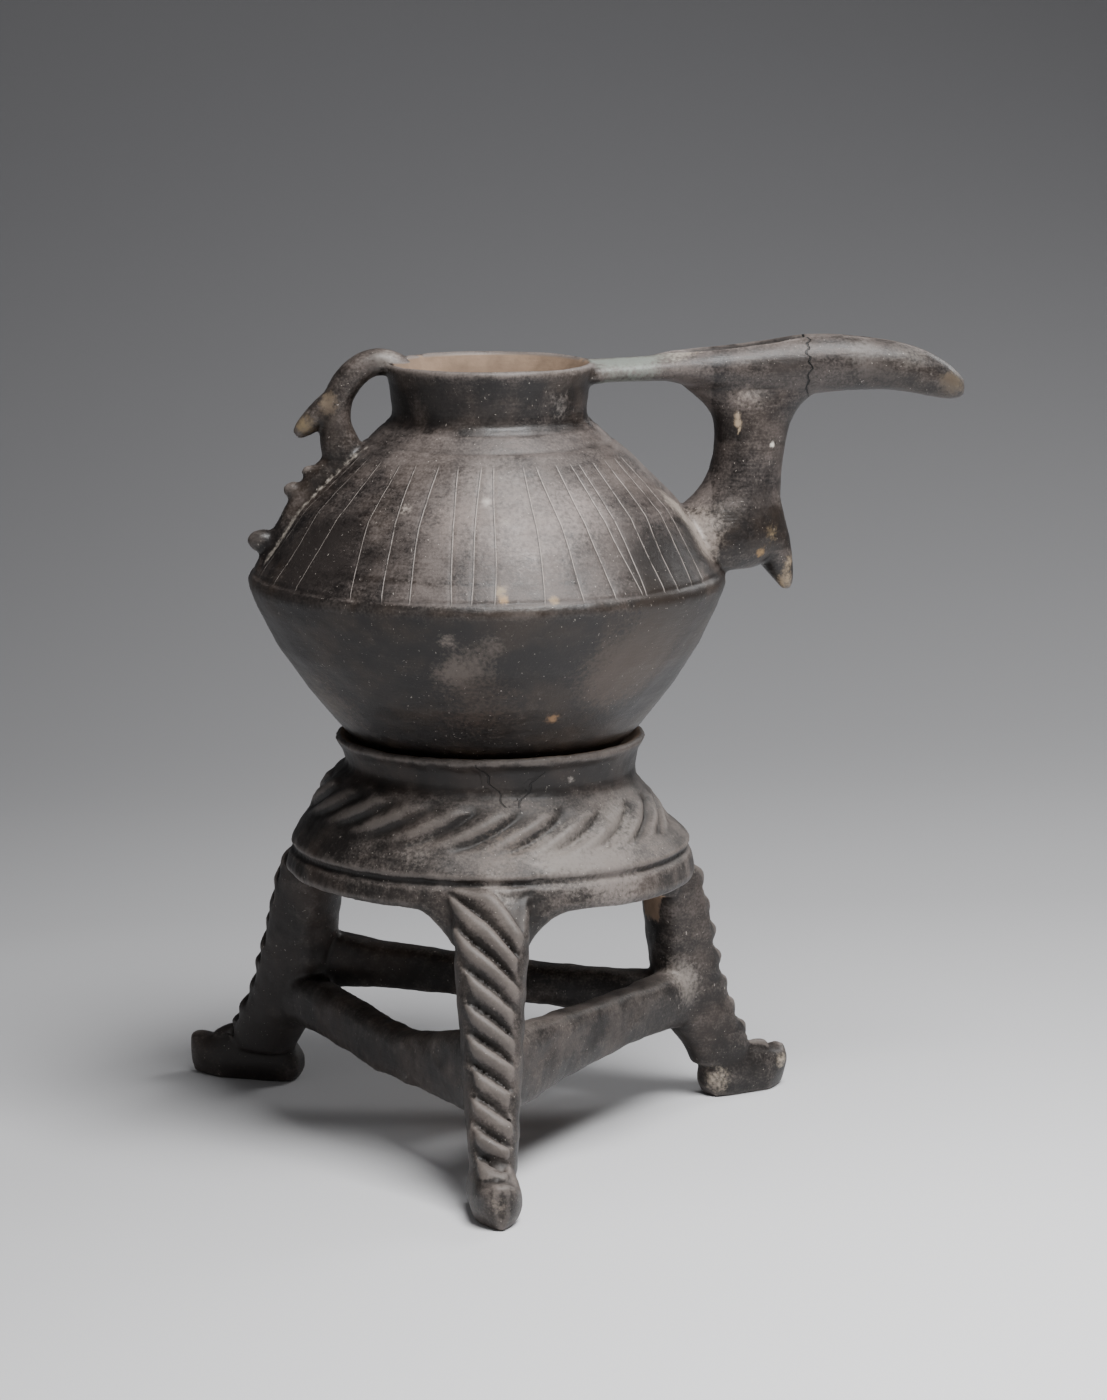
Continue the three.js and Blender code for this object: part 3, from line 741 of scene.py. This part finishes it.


# %% Stains and patches of painted shade, as place, reach in mm, colour and strength
def linear(colour):
    parts = [int(colour[start:start + 2], 16) / 255 for start in (1, 3, 5)]
    return [part / 12.92 if part < 0.04045 else ((part + 0.055) / 1.055) ** 2.4 for part in parts]


jar_stains_and_shade = [
    ((-85, -36, 232), 30, "#4C4138", 0.5), ((68, -86, 262), 28, "#43382F", 0.7),
    ((50, -92, 248), 24, "#4A3E36", 0.6), ((-16, -93, 236), 30, "#453A33", 0.45),
    ((-35, -111, 274), 5, "#7A7068", 0.5), ((-23, -107, 261), 11, "#5E554E", 0.45),
    ((-33, -103, 256), 9, "#665C55", 0.42), ((-12, -113, 272), 9, "#5E554E", 0.4),
    ((-8, -117, 294), 2.4, "#A5845A", 0.9), ((-9, -114, 298), 3, "#9C8A70", 0.6),
    ((17, -116, 293), 2.6, "#9C8464", 0.75), ((20, -87, 230), 3, "#9A7650", 0.7),
    ((7, -99, 320), 28, "#857B76", 0.5), ((-26, -86, 326), 20, "#7D716B", 0.46),
    ((34, -78, 328), 20, "#8A7F7A", 0.5), ((-6, -74, 345), 22, "#736B66", 0.5),
    # A dark patch on the left of the shoulder: painted shade on the side that turns away from the lamp.
    ((-100, -47, 305), 26, "#2C2725", 0.55),
    ((78, -80, 300), 30, "#1D1A19", 0.9), ((-60, -88, 303), 16, "#3A3330", 0.4),
    ((-49, -72, 331), 4, "#B0A59C", 0.6), ((-41, -88, 312), 1.8, "#E4DED6", 0.9),
    ((-4, -92, 327), 1.8, "#CFC6BB", 0.85), ((-12, -84, 337), 1.6, "#D8D0C6", 0.8),
    ((124, -14, 369), 1.6, "#B39E84", 0.85), ((124, -14.5, 365), 1.9, "#B39E84", 0.9),
    ((124, -15, 361), 1.3, "#B39E84", 0.8), ((142, -14, 354), 1.7, "#DDD5CA", 0.95),
    ((103, -18, 314), 15, "#8C827A", 0.6), ((104, -31, 304), 11, "#8C827A", 0.55),
    ((86, -33, 329), 10, "#91877E", 0.5), ((93, -28, 322), 8, "#A1978D", 0.55),
    ((136, -19, 299), 3, "#96784E", 0.8), ((141, -14, 308), 5, "#9C8766", 0.4),
    ((152, -6, 294), 5, "#A89478", 0.5), ((151, -5, 283), 6, "#9A8870", 0.55),
    ((237, -8, 382), 9, "#5F5547", 0.55), ((234, -8, 384), 4.5, "#463B33", 0.6),
    ((-81, -5, 381), 5, "#6E6152", 0.5), ((-82, -6, 376), 5, "#6E6152", 0.55),
    ((-94, -4, 366), 6, "#776850", 0.6), ((-51, -8, 401), 8, "#857E78", 0.5),
    ((58, -6, 394), 14, "#7C817A", 0.7), ((76, -7, 396), 14, "#7C817A", 0.66),
    ((96, -9, 402), 9, "#A39A8F", 0.5), ((104, -6, 404), 4, "#A68C70", 0.6),
    ((116, -7, 405), 4, "#A68C70", 0.6), ((130, -7, 407), 4, "#A68C70", 0.55),
    ((142, -6, 408), 4, "#A68C70", 0.5), ((197, -12, 388), 15, "#3C3430", 0.45),
    ((187, -10, 403), 12, "#6F6A66", 0.42), ((215, -9, 398), 11, "#6F6963", 0.4),
    ((128, -14, 379), 10, "#857B74", 0.42), ((135, -17, 326), 16, "#38322F", 0.45),
    ((30, -39, 378), 12, "#77706B", 0.35), ((-30, -40, 382), 14, "#2A2523", 0.5),
    ((-5, -50, 376), 16, "#2A2523", 0.45),
    ((150, -17, 394), 16, "#2F2926", 0.5), ((-78, -8, 366), 10, "#332C29", 0.45),
    # The last entry here, a dark patch on the left of the shoulder, is painted shade on the side that
    # turns away from the lamp.
    ((-60, -10, 395), 8, "#3A3431", 0.45), ((-84, -62, 312), 30, "#2A2523", 0.5),
]
# The flaked edge of the raised band
jar_stains_and_shade += [((-jar_radius(height) - 0.5, -11.5, height), 2.7, "#A8A096", 0.55)
               for height in range(300, 358, 4)]
stand_stains_and_shade = [
    ((23, -92, 162), 20, "#7B746E", 0.6), ((48, -82, 162), 20, "#756E69", 0.5),
    ((-45, -81, 164), 16, "#7D756F", 0.4), ((-12, -99, 150), 9, "#8A827C", 0.45),
    ((-6, -104, 142), 8, "#8A827C", 0.4), ((53, -88, 143), 18, "#7D746F", 0.5),
    ((32, -67, 195), 2.2, "#A8A098", 0.7), ((-21, -187, 14), 8, "#8E8378", 0.4),
    ((163, 56, 15), 6, "#A89C8C", 0.5), ((124, 39, 10), 10, "#A89C8C", 0.5),
    ((103, 28, 70), 13, "#8A827B", 0.6), ((103, 29, 79), 2.4, "#14100E", 0.95),
    # The last entry here, a dark patch on the left of the belt, is painted shade on the side that turns
    # away from the lamp.
    ((112, 22, 58), 9, "#55504C", 0.5), ((-100, -40, 176), 30, "#38322F", 0.5),
    ((-8, -96, 172), 16, "#7A6C62", 0.35), ((62, -62, 176), 18, "#7B746E", 0.5),
    # Two dark patches on the left leg: painted shade on the leg that stands away from the lamp.
    ((-122, 106, 20), 40, "#2B2624", 0.6), ((-110, 78, 70), 50, "#2B2624", 0.5),
]


def paint_stains_and_shade(piece, stains_and_shade):
    points = corners_of(piece)
    left, mixed, total = np.ones(len(points)), np.zeros((len(points), 3)), np.full(len(points), 1e-6)
    for middle, reach, colour, strength in stains_and_shade:
        share = strength * np.exp(-((points - middle) ** 2).sum(axis=1) / reach ** 2)
        left *= 1 - share
        mixed += share[:, None] * linear(colour)
        total += share
    attribute = piece.data.attributes.new("stain_and_shade", "FLOAT_COLOR", "POINT")
    attribute.data.foreach_set("color", np.column_stack([mixed / total[:, None], 1 - left]).ravel())


paint_stains_and_shade(jar, jar_stains_and_shade)
paint_stains_and_shade(stand, stand_stains_and_shade)

# %% Dust, painted shade and bare inner clay
points, normals = corners_of(jar), normals_of(jar)
x, y, z = points.T
radius = np.hypot(x, y)
inward = normals[:, 0] * x + normals[:, 1] * y < 0
inside = inward & (radius < jar_radius(z) - 1.5) & (z < 395.5)
# The veil is thick on the shoulder, and thinned on the neck, on all that reaches out past the
# shoulder's edge above it, and on the beak's tip.
dust_and_shade = 0.5 * soft_step(289.5, 291.5, z) - 0.34 * window(z, 366, 394, 3) * (radius < 56)
dust_and_shade += 0.04 - 0.22 * (radius > 112) * (z > 300) - 0.1 * (x > 180)
# It is thinned on the left of the shoulder as painted shade on the side that turns away from the lamp,
# and on the right below 322 mm.
dust_and_shade -= (0.34 * soft_step(25, 100, -x) * soft_step(290, 292, z)
          + 0.3 * soft_step(50, 95, x) * (z < 322))
# It is thicker on top of the beak, and thinned below the shoulder's edge as painted shade on the lower
# body, which faces down, away from the lamp.
dust_and_shade += 0.16 * (z > 399) * (x > 60) - 0.26 * (z < 289)
keep_on_corners(jar, "dust_and_shade", np.clip(dust_and_shade, 0, 1))
keep_on_corners(jar, "inside", inside.astype(float))
keep_on_corners(jar, "wear_and_recess_shade", proudness(jar))

points, normals = corners_of(stand), normals_of(stand)
x, y, z = points.T
collar = window(z, 188, 206, 2)
# The veil is thicker on faces that turn upwards and thinner on the collar.
dust_and_shade = 0.26 + 0.26 * np.clip(normals[:, 2], -0.6, 1) - 0.2 * collar
# It is thinned on the left and at the back as painted shade on the sides that turn away from the lamp.
dust_and_shade -= 0.3 * soft_step(0, 110, -x) + 0.3 * soft_step(20, 80, y)
# The hollow of the ring was never burnished, nor were the faces that the legs turn to it
inward = (normals[:, 0] * x + normals[:, 1] * y < 0) & (np.hypot(x, y) < 96) & (z > 100)
keep_on_corners(stand, "dust_and_shade", np.clip(dust_and_shade, 0, 1))
keep_on_corners(stand, "inside", inward.astype(float))
# On the stand the relief's crests are lighter, as wear, and its grooves darker, as painted shade.
keep_on_corners(stand, "wear_and_recess_shade", proudness(stand) + 0.06 * np.clip(relief_on(points), -1.5, 2))

# %% [markdown]
# A scratch is thinner than the triangles, so its colour can't sit on the corners. The distance to it
# can: along a triangle it changes evenly, and the material draws the line where it passes zero. Each
# triangle keeps the distance to its own nearest line in a UV map. The second coordinate is above 0
# for a scratch, below 0 for a crack and 0 for none, and its size says how strongly the line shows.

# %% Lines stored as distances
# Azimuth of a crack at its top and bottom, and the heights where it starts and ends
collar_cracks = [(-102, -91, 206, 184), (-77, -87, 201, 183)]
# Where the crack round the beak runs along x, and the height above which it is looked for
BEAK_CRACK = 160.4
BEAK_UNDERSIDE = 372


def keep_lines(piece, nearest_line):
    mesh = piece.data
    centres = np.empty(len(mesh.polygons) * 3)
    mesh.polygons.foreach_get("center", centres)
    centres = (centres.reshape(-1, 3) - np.array(place(0, 0, 0))) / MM
    sizes = np.empty(len(mesh.polygons), dtype=np.int64)
    mesh.polygons.foreach_get("loop_total", sizes)
    face = np.repeat(np.arange(len(sizes)), sizes)
    corner = np.empty(len(mesh.loops), dtype=np.int64)
    mesh.loops.foreach_get("vertex_index", corner)
    distance, kind = nearest_line(centres[face], corners_of(piece)[corner])
    layer = mesh.uv_layers.new(name="lines")
    layer.data.foreach_set("uv", np.column_stack([distance, kind]).ravel())


def jar_lines(centres, points):
    _, nearest = scratch_distances(centres)
    ends = np.array(scratch_lines)[nearest].T
    radius = np.hypot(*centres[:, :2].T)
    on_wall = (np.abs(radius - jar_radius(centres[:, 2])) < 3) & (centres[:, 2] > 291)
    kind = on_wall * window(points[:, 2], SCRATCH_BOTTOM, SCRATCH_TOP - 1, 1.5)
    crack = (np.abs(centres[:, 0] - 160) < 12) & (centres[:, 2] > BEAK_UNDERSIDE)
    jag = 0.9 * np.sin(points[:, 2] * 0.42) + 0.8 * np.sin(points[:, 2] * 1.1 + points[:, 1] * 0.6)
    return (np.where(crack, points[:, 0] - BEAK_CRACK - jag, from_scratch(points, ends)),
            np.where(crack, -1, kind))


def stand_lines(centres, points):
    distance, kind = np.full(len(points), 9.0), np.zeros(len(points))
    for top, bottom, high, low in collar_cracks:
        angle = np.degrees(np.arctan2(points[:, 1], points[:, 0]))
        course = bottom + (top - bottom) * (points[:, 2] - low) / (high - low)
        gap = np.radians(angle - course - np.sin(points[:, 2] * 0.7)) * np.hypot(*points[:, :2].T)
        near = (np.abs(gap) < 4) & (centres[:, 2] < high) & (centres[:, 2] > low)
        distance, kind = np.where(near, gap, distance), np.where(near, -0.7, kind)
    return distance, kind


keep_lines(jar, jar_lines)
keep_lines(stand, stand_lines)

# %% [markdown]
# ## The clay
#
# Both pieces are the same blackened, burnished clay, worn differently. Iron-rich clay fired without
# air turns black; clouds of brown stay where some air reached it. Rubbing the leather-hard surface
# with a pebble closes it, so it reflects softly with fine streaks. Dust and abrasion then lie as a
# pale grey veil, strongest on raised and upward surfaces, and break up the shine. The veil is thinned
# as painted shade on the sides that turn away from the lamp, and recesses are painted darker as shade.

# %% Building a material from nodes
def add(tree, kind, inputs=(), **settings):
    node = tree.nodes.new(kind)
    for setting, value in settings.items():
        setattr(node, setting, value)
    for socket, value in dict(inputs).items():
        if isinstance(value, bpy.types.NodeSocket):
            tree.links.new(value, node.inputs[socket])
        else:
            node.inputs[socket].default_value = value
    return node


def calculated(tree, operation, *values):
    return add(tree, "ShaderNodeMath", dict(enumerate(values)), operation=operation).outputs[0]


def mask(tree, value, low, high):
    limits = {"Value": value, "From Min": low, "From Max": high}
    return add(tree, "ShaderNodeMapRange", limits, interpolation_type="SMOOTHSTEP").outputs[0]


def mottle(tree, where, size, stretch=(1, 1, 1), detail=4.0):
    """Noise between about 0.2 and 0.8 whose features are `size` mm across."""
    scaled = add(tree, "ShaderNodeVectorMath",
                 {0: where, 1: [1 / (size * part) for part in stretch]}, operation="MULTIPLY")
    return add(tree, "ShaderNodeTexNoise", {"Vector": scaled.outputs[0], "Scale": 1.0,
                                            "Detail": detail, "Roughness": 0.6}).outputs[0]


def coat(tree, under, colour, share):
    """Lays a colour over another where the share is high."""
    if isinstance(colour, str):
        colour = (*linear(colour), 1)
    return add(tree, "ShaderNodeMix", {0: share, 6: under, 7: colour}, data_type="RGBA").outputs[2]


# %% The fired clay
def fired_clay(name, dark, brown, dust, polish, streak):
    clay = bpy.data.materials.new(name)
    clay.use_nodes = True
    tree = clay.node_tree
    surface = tree.nodes["Principled BSDF"]
    object_place = add(tree, "ShaderNodeTexCoord").outputs["Object"]
    where = add(tree, "ShaderNodeMapping", {
        "Vector": object_place, "Scale": (1 / MM, 1 / MM, 1 / MM),
        "Location": (-axis_x / MM, -axis_y / MM, 0)}).outputs[0]
    dust_and_shade, wear_and_recess_shade, inside = [add(tree, "ShaderNodeAttribute", attribute_name=kept).outputs["Fac"]
                           for kept in ("dust_and_shade", "wear_and_recess_shade", "inside")]
    stain_and_shade = add(tree, "ShaderNodeAttribute", attribute_name="stain_and_shade")

    # Firing clouds over the black body
    clouds = mask(tree, mottle(tree, where, 34), 0.42, 0.68)
    colour = coat(tree, (*linear(dark), 1), brown, clouds)

    # The veil of dust, thinned where shade is painted: broad patches, burnishing streaks and fine grain
    # together
    patches = mottle(tree, where, 17)
    streaks = mottle(tree, where, 1.6, stretch=streak)
    grain = mottle(tree, where, 1.3, detail=6.0)
    veil = calculated(tree, "ADD", calculated(tree, "MULTIPLY", patches, 0.9),
                      calculated(tree, "MULTIPLY", streaks, 0.45))
    veil = calculated(tree, "MULTIPLY_ADD", grain, 0.75, veil)
    veil = calculated(tree, "ADD", veil, dust_and_shade)
    veil = mask(tree, veil, 1.12, 1.98)
    colour = coat(tree, colour, dust, veil)

    # Rubbed crests are light, as wear; recesses are painted darker, as shade
    rubbed = mask(tree, calculated(tree, "MULTIPLY_ADD", grain, 0.12, wear_and_recess_shade), 0.07, 0.2)
    rubbed = calculated(tree, "MULTIPLY", rubbed, 0.42)
    colour = coat(tree, colour, "#857C76", rubbed)
    painted_recess_shade = mask(tree, calculated(tree, "MULTIPLY_ADD", grain, -0.06, wear_and_recess_shade), -0.02, -0.16)
    colour = coat(tree, colour, "#14110F", calculated(tree, "MULTIPLY", painted_recess_shade, 0.55))

    # Stains and patches of painted shade, with ragged edges
    ragged = calculated(tree, "MULTIPLY_ADD", mottle(tree, where, 9), 0.4, stain_and_shade.outputs["Alpha"])
    ragged = calculated(tree, "MULTIPLY_ADD", mottle(tree, where, 2, detail=6.0), 0.9, ragged)
    stain_and_shade_here = mask(tree, ragged, 0.86, 1.34)
    present = mask(tree, stain_and_shade.outputs["Alpha"], 0.05, 0.3)
    stain_and_shade_here = calculated(tree, "MULTIPLY", stain_and_shade_here, present)
    colour = coat(tree, colour, stain_and_shade.outputs["Color"], stain_and_shade_here)

    # White flecks and short hairlines of lime and abrasion
    flecks = mask(tree, mottle(tree, where, 1.5, detail=2.0), 0.7, 0.75)
    hairs = mask(tree, mottle(tree, where, 0.8, stretch=(2.5, 2.5, 7), detail=2.0), 0.72, 0.78)
    spots = calculated(tree, "MULTIPLY", calculated(tree, "MAXIMUM", flecks, hairs), 0.5)
    colour = coat(tree, colour, "#BDB5AC", spots)

    # Scratches get a painted highlight on one side and painted shade on the other, cracks are black and
    # ragged
    lines = add(tree, "ShaderNodeUVMap", uv_map="lines").outputs[0]
    gap, kind, _ = add(tree, "ShaderNodeSeparateXYZ", {0: lines}).outputs
    painted_scratch_highlight = mask(tree, calculated(tree, "ABSOLUTE", calculated(tree, "SUBTRACT", gap, 0.2)), 0.4, 0.1)
    shade = mask(tree, calculated(tree, "ABSOLUTE", calculated(tree, "ADD", gap, 0.35)), 0.4, 0.1)
    is_scratch = calculated(tree, "MAXIMUM", kind, 0.0)
    broken = mask(tree, mottle(tree, where, 5), 0.25, 0.55)
    painted_scratch_highlight = calculated(tree, "MULTIPLY", calculated(tree, "MULTIPLY", painted_scratch_highlight, is_scratch), broken)
    shade = calculated(tree, "MULTIPLY", calculated(tree, "MULTIPLY", shade, is_scratch), 0.7)
    colour = coat(tree, colour, "#1D1917", shade)
    colour = coat(tree, colour, "#B3A9A2", calculated(tree, "MULTIPLY", painted_scratch_highlight, 0.6))
    torn = calculated(tree, "MULTIPLY_ADD", mottle(tree, where, 1.5), 1.6, gap)
    crack = mask(tree, calculated(tree, "ABSOLUTE", calculated(tree, "SUBTRACT", torn, 0.8)), 0.7, 0.25)
    is_crack = calculated(tree, "MAXIMUM", calculated(tree, "MULTIPLY", kind, -1.0), 0.0)
    crack = calculated(tree, "MULTIPLY", crack, is_crack)
    colour = coat(tree, colour, "#060504", crack)

    # The hollow was never burnished: it kept the clay's tan, darkened by soot
    colour = coat(tree, colour, coat(tree, (*linear("#A68D77"), 1), "#4B3D33", patches), inside)
    tree.links.new(colour, surface.inputs["Base Color"])

    matt = calculated(tree, "MULTIPLY_ADD", veil, 0.2, polish)
    matt = calculated(tree, "MULTIPLY_ADD", streaks, 0.14, matt)
    matt = calculated(tree, "MAXIMUM", matt, calculated(tree, "MULTIPLY", inside, 0.85))
    tree.links.new(matt, surface.inputs["Roughness"])
    surface.inputs["IOR"].default_value = 1.45

    relief = calculated(tree, "MULTIPLY_ADD", streaks, 0.3, calculated(tree, "MULTIPLY", grain, 0.35))
    relief = calculated(tree, "SUBTRACT", relief, calculated(tree, "MULTIPLY", crack, 1.5))
    relief = calculated(tree, "SUBTRACT", relief, calculated(tree, "MULTIPLY", painted_scratch_highlight, 0.25))
    bump = add(tree, "ShaderNodeBump", {"Height": relief, "Distance": 0.5 * MM, "Strength": 0.8})
    tree.links.new(bump.outputs[0], surface.inputs["Normal"])
    return clay


# %% Two wears of the same clay
# The last three numbers stretch the burnishing streaks round the jar and round the stand
burnished = fired_clay("burnished_black_clay", "#151110", "#2E251E", "#6A615D", 0.34, (9, 9, 1))
dusted = fired_clay("dusted_black_clay", "#1B1715", "#332A25", "#6F6762", 0.42, (7, 7, 1))

for piece, node, clay, slot in ((jar, "spouted_jar", burnished, "burnished_clay"),
                                (stand, "tripod_stand", dusted, "dusty_clay")):
    piece.data.materials.clear()
    piece.data.materials.append(clay)
    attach(piece, "root")
    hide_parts(node)

# %% [markdown]
# ## The studio
#
# The photograph was taken on a roll of grey paper that sweeps up behind the pot, under one large soft
# lamp high on the right in front. The lamp's falloff is painted into the paper's colour: painted
# shade makes it darker away from the lamp and towards the left.

# %% The paper sweep
sweep = add_alone("sweep", bpy.ops.mesh.primitive_plane_add, size=7, location=(0, -1.0, 0))
bpy.ops.object.mode_set(mode="EDIT")
bpy.ops.mesh.select_mode(type="EDGE")
bpy.ops.mesh.select_all(action="DESELECT")
bpy.ops.object.mode_set(mode="OBJECT")
for edge in sweep.data.edges:
    edge.select = all(sweep.data.vertices[end].co.y > 0 for end in edge.vertices)
bpy.ops.object.mode_set(mode="EDIT")
bpy.ops.mesh.extrude_region_move(TRANSFORM_OT_translate={"value": (0, 0, 3.5)})
bpy.ops.object.mode_set(mode="OBJECT")
for edge in sweep.data.edges:
    edge.select = all(sweep.data.vertices[end].co.y > 0 and sweep.data.vertices[end].co.z < 0.1
                      for end in edge.vertices)
bpy.ops.object.mode_set(mode="EDIT")
bpy.ops.mesh.bevel(offset=1.6, segments=32)
bpy.ops.object.mode_set(mode="OBJECT")
bpy.ops.object.shade_smooth()

paper = bpy.data.materials.new("grey_paper")
paper.use_nodes = True
tree = paper.node_tree
across, away, _ = add(tree, "ShaderNodeSeparateXYZ",
                      {0: add(tree, "ShaderNodeTexCoord").outputs["Object"]}).outputs
# Painted light falloff: the paper's tone by its distance, as shares of the length of the ramp in metres
RAMP_LENGTH = 4.0
ramp = add(tree, "ShaderNodeValToRGB", {0: calculated(tree, "DIVIDE", away, RAMP_LENGTH)})
painted_falloff_tones = [(0.14, "#FCFCFE"), (0.21, "#EFEFF1"), (0.29, "#CFCFD1"), (0.38, "#B0B0B2"),
         (0.51, "#98989A"), (0.72, "#717173"), (0.85, "#555557")]
for number, (share, tone) in enumerate(painted_falloff_tones):
    stop = ramp.color_ramp.elements[0] if number == 0 else ramp.color_ramp.elements.new(share)
    stop.position, stop.color = share, (*linear(tone), 1)
ramp.color_ramp.elements.remove(ramp.color_ramp.elements[-1])
# Painted shade darkens the paper towards the left, away from the lamp.
painted_left_shade = calculated(tree, "MULTIPLY", mask(tree, across, 0.3, -0.6), 0.4)
shade = coat(tree, ramp.outputs[0], "#5A5A5C", painted_left_shade)
tree.links.new(shade, tree.nodes["Principled BSDF"].inputs["Base Color"])
tree.nodes["Principled BSDF"].inputs["Roughness"].default_value = 0.9
sweep.data.materials.append(paper)


# %% Lamps, camera and room light
def lamp(name, position, size, power, target):
    bpy.ops.object.light_add(type="AREA", location=position)
    light = bpy.context.object
    light.name = name
    light.data.size = size
    light.data.energy = power
    light.rotation_euler = (Vector(target) - Vector(position)).to_track_quat("-Z", "Y").to_euler()


pot = (axis_x, axis_y, 0.25)
lamp("key", (axis_x + 0.42, axis_y - 0.8, 1.84), 0.9, 68, pot)
lamp("fill", (axis_x - 1.5, axis_y - 1.2, 0.9), 1.2, 2, pot)
lamp("back_light", (axis_x + 1.3, axis_y + 0.9, 1.2), 0.6, 10, pot)
# The camera stands off by a distance and height in metres, is turned round the pot, and looks down
# and a little aside, in degrees
CAMERA_AWAY = 2.311
CAMERA_HEIGHT = 0.641
CAMERA_TURN = -7
CAMERA_DOWN = 10.229
CAMERA_ASIDE = 0.7968
turn = math.radians(CAMERA_TURN)
bpy.ops.object.camera_add(
    location=(axis_x + CAMERA_AWAY * math.sin(turn), axis_y - CAMERA_AWAY * math.cos(turn),
              CAMERA_HEIGHT),
    rotation=(math.radians(90 - CAMERA_DOWN), 0, math.radians(CAMERA_TURN - CAMERA_ASIDE)))
bpy.context.object.data.lens = 118.86
bpy.context.scene.camera = bpy.context.object
room = bpy.data.worlds.new("room")
bpy.context.scene.world = room
room.use_nodes = True
room.node_tree.nodes["Background"].inputs["Color"].default_value = (0.1, 0.1, 0.103, 1)
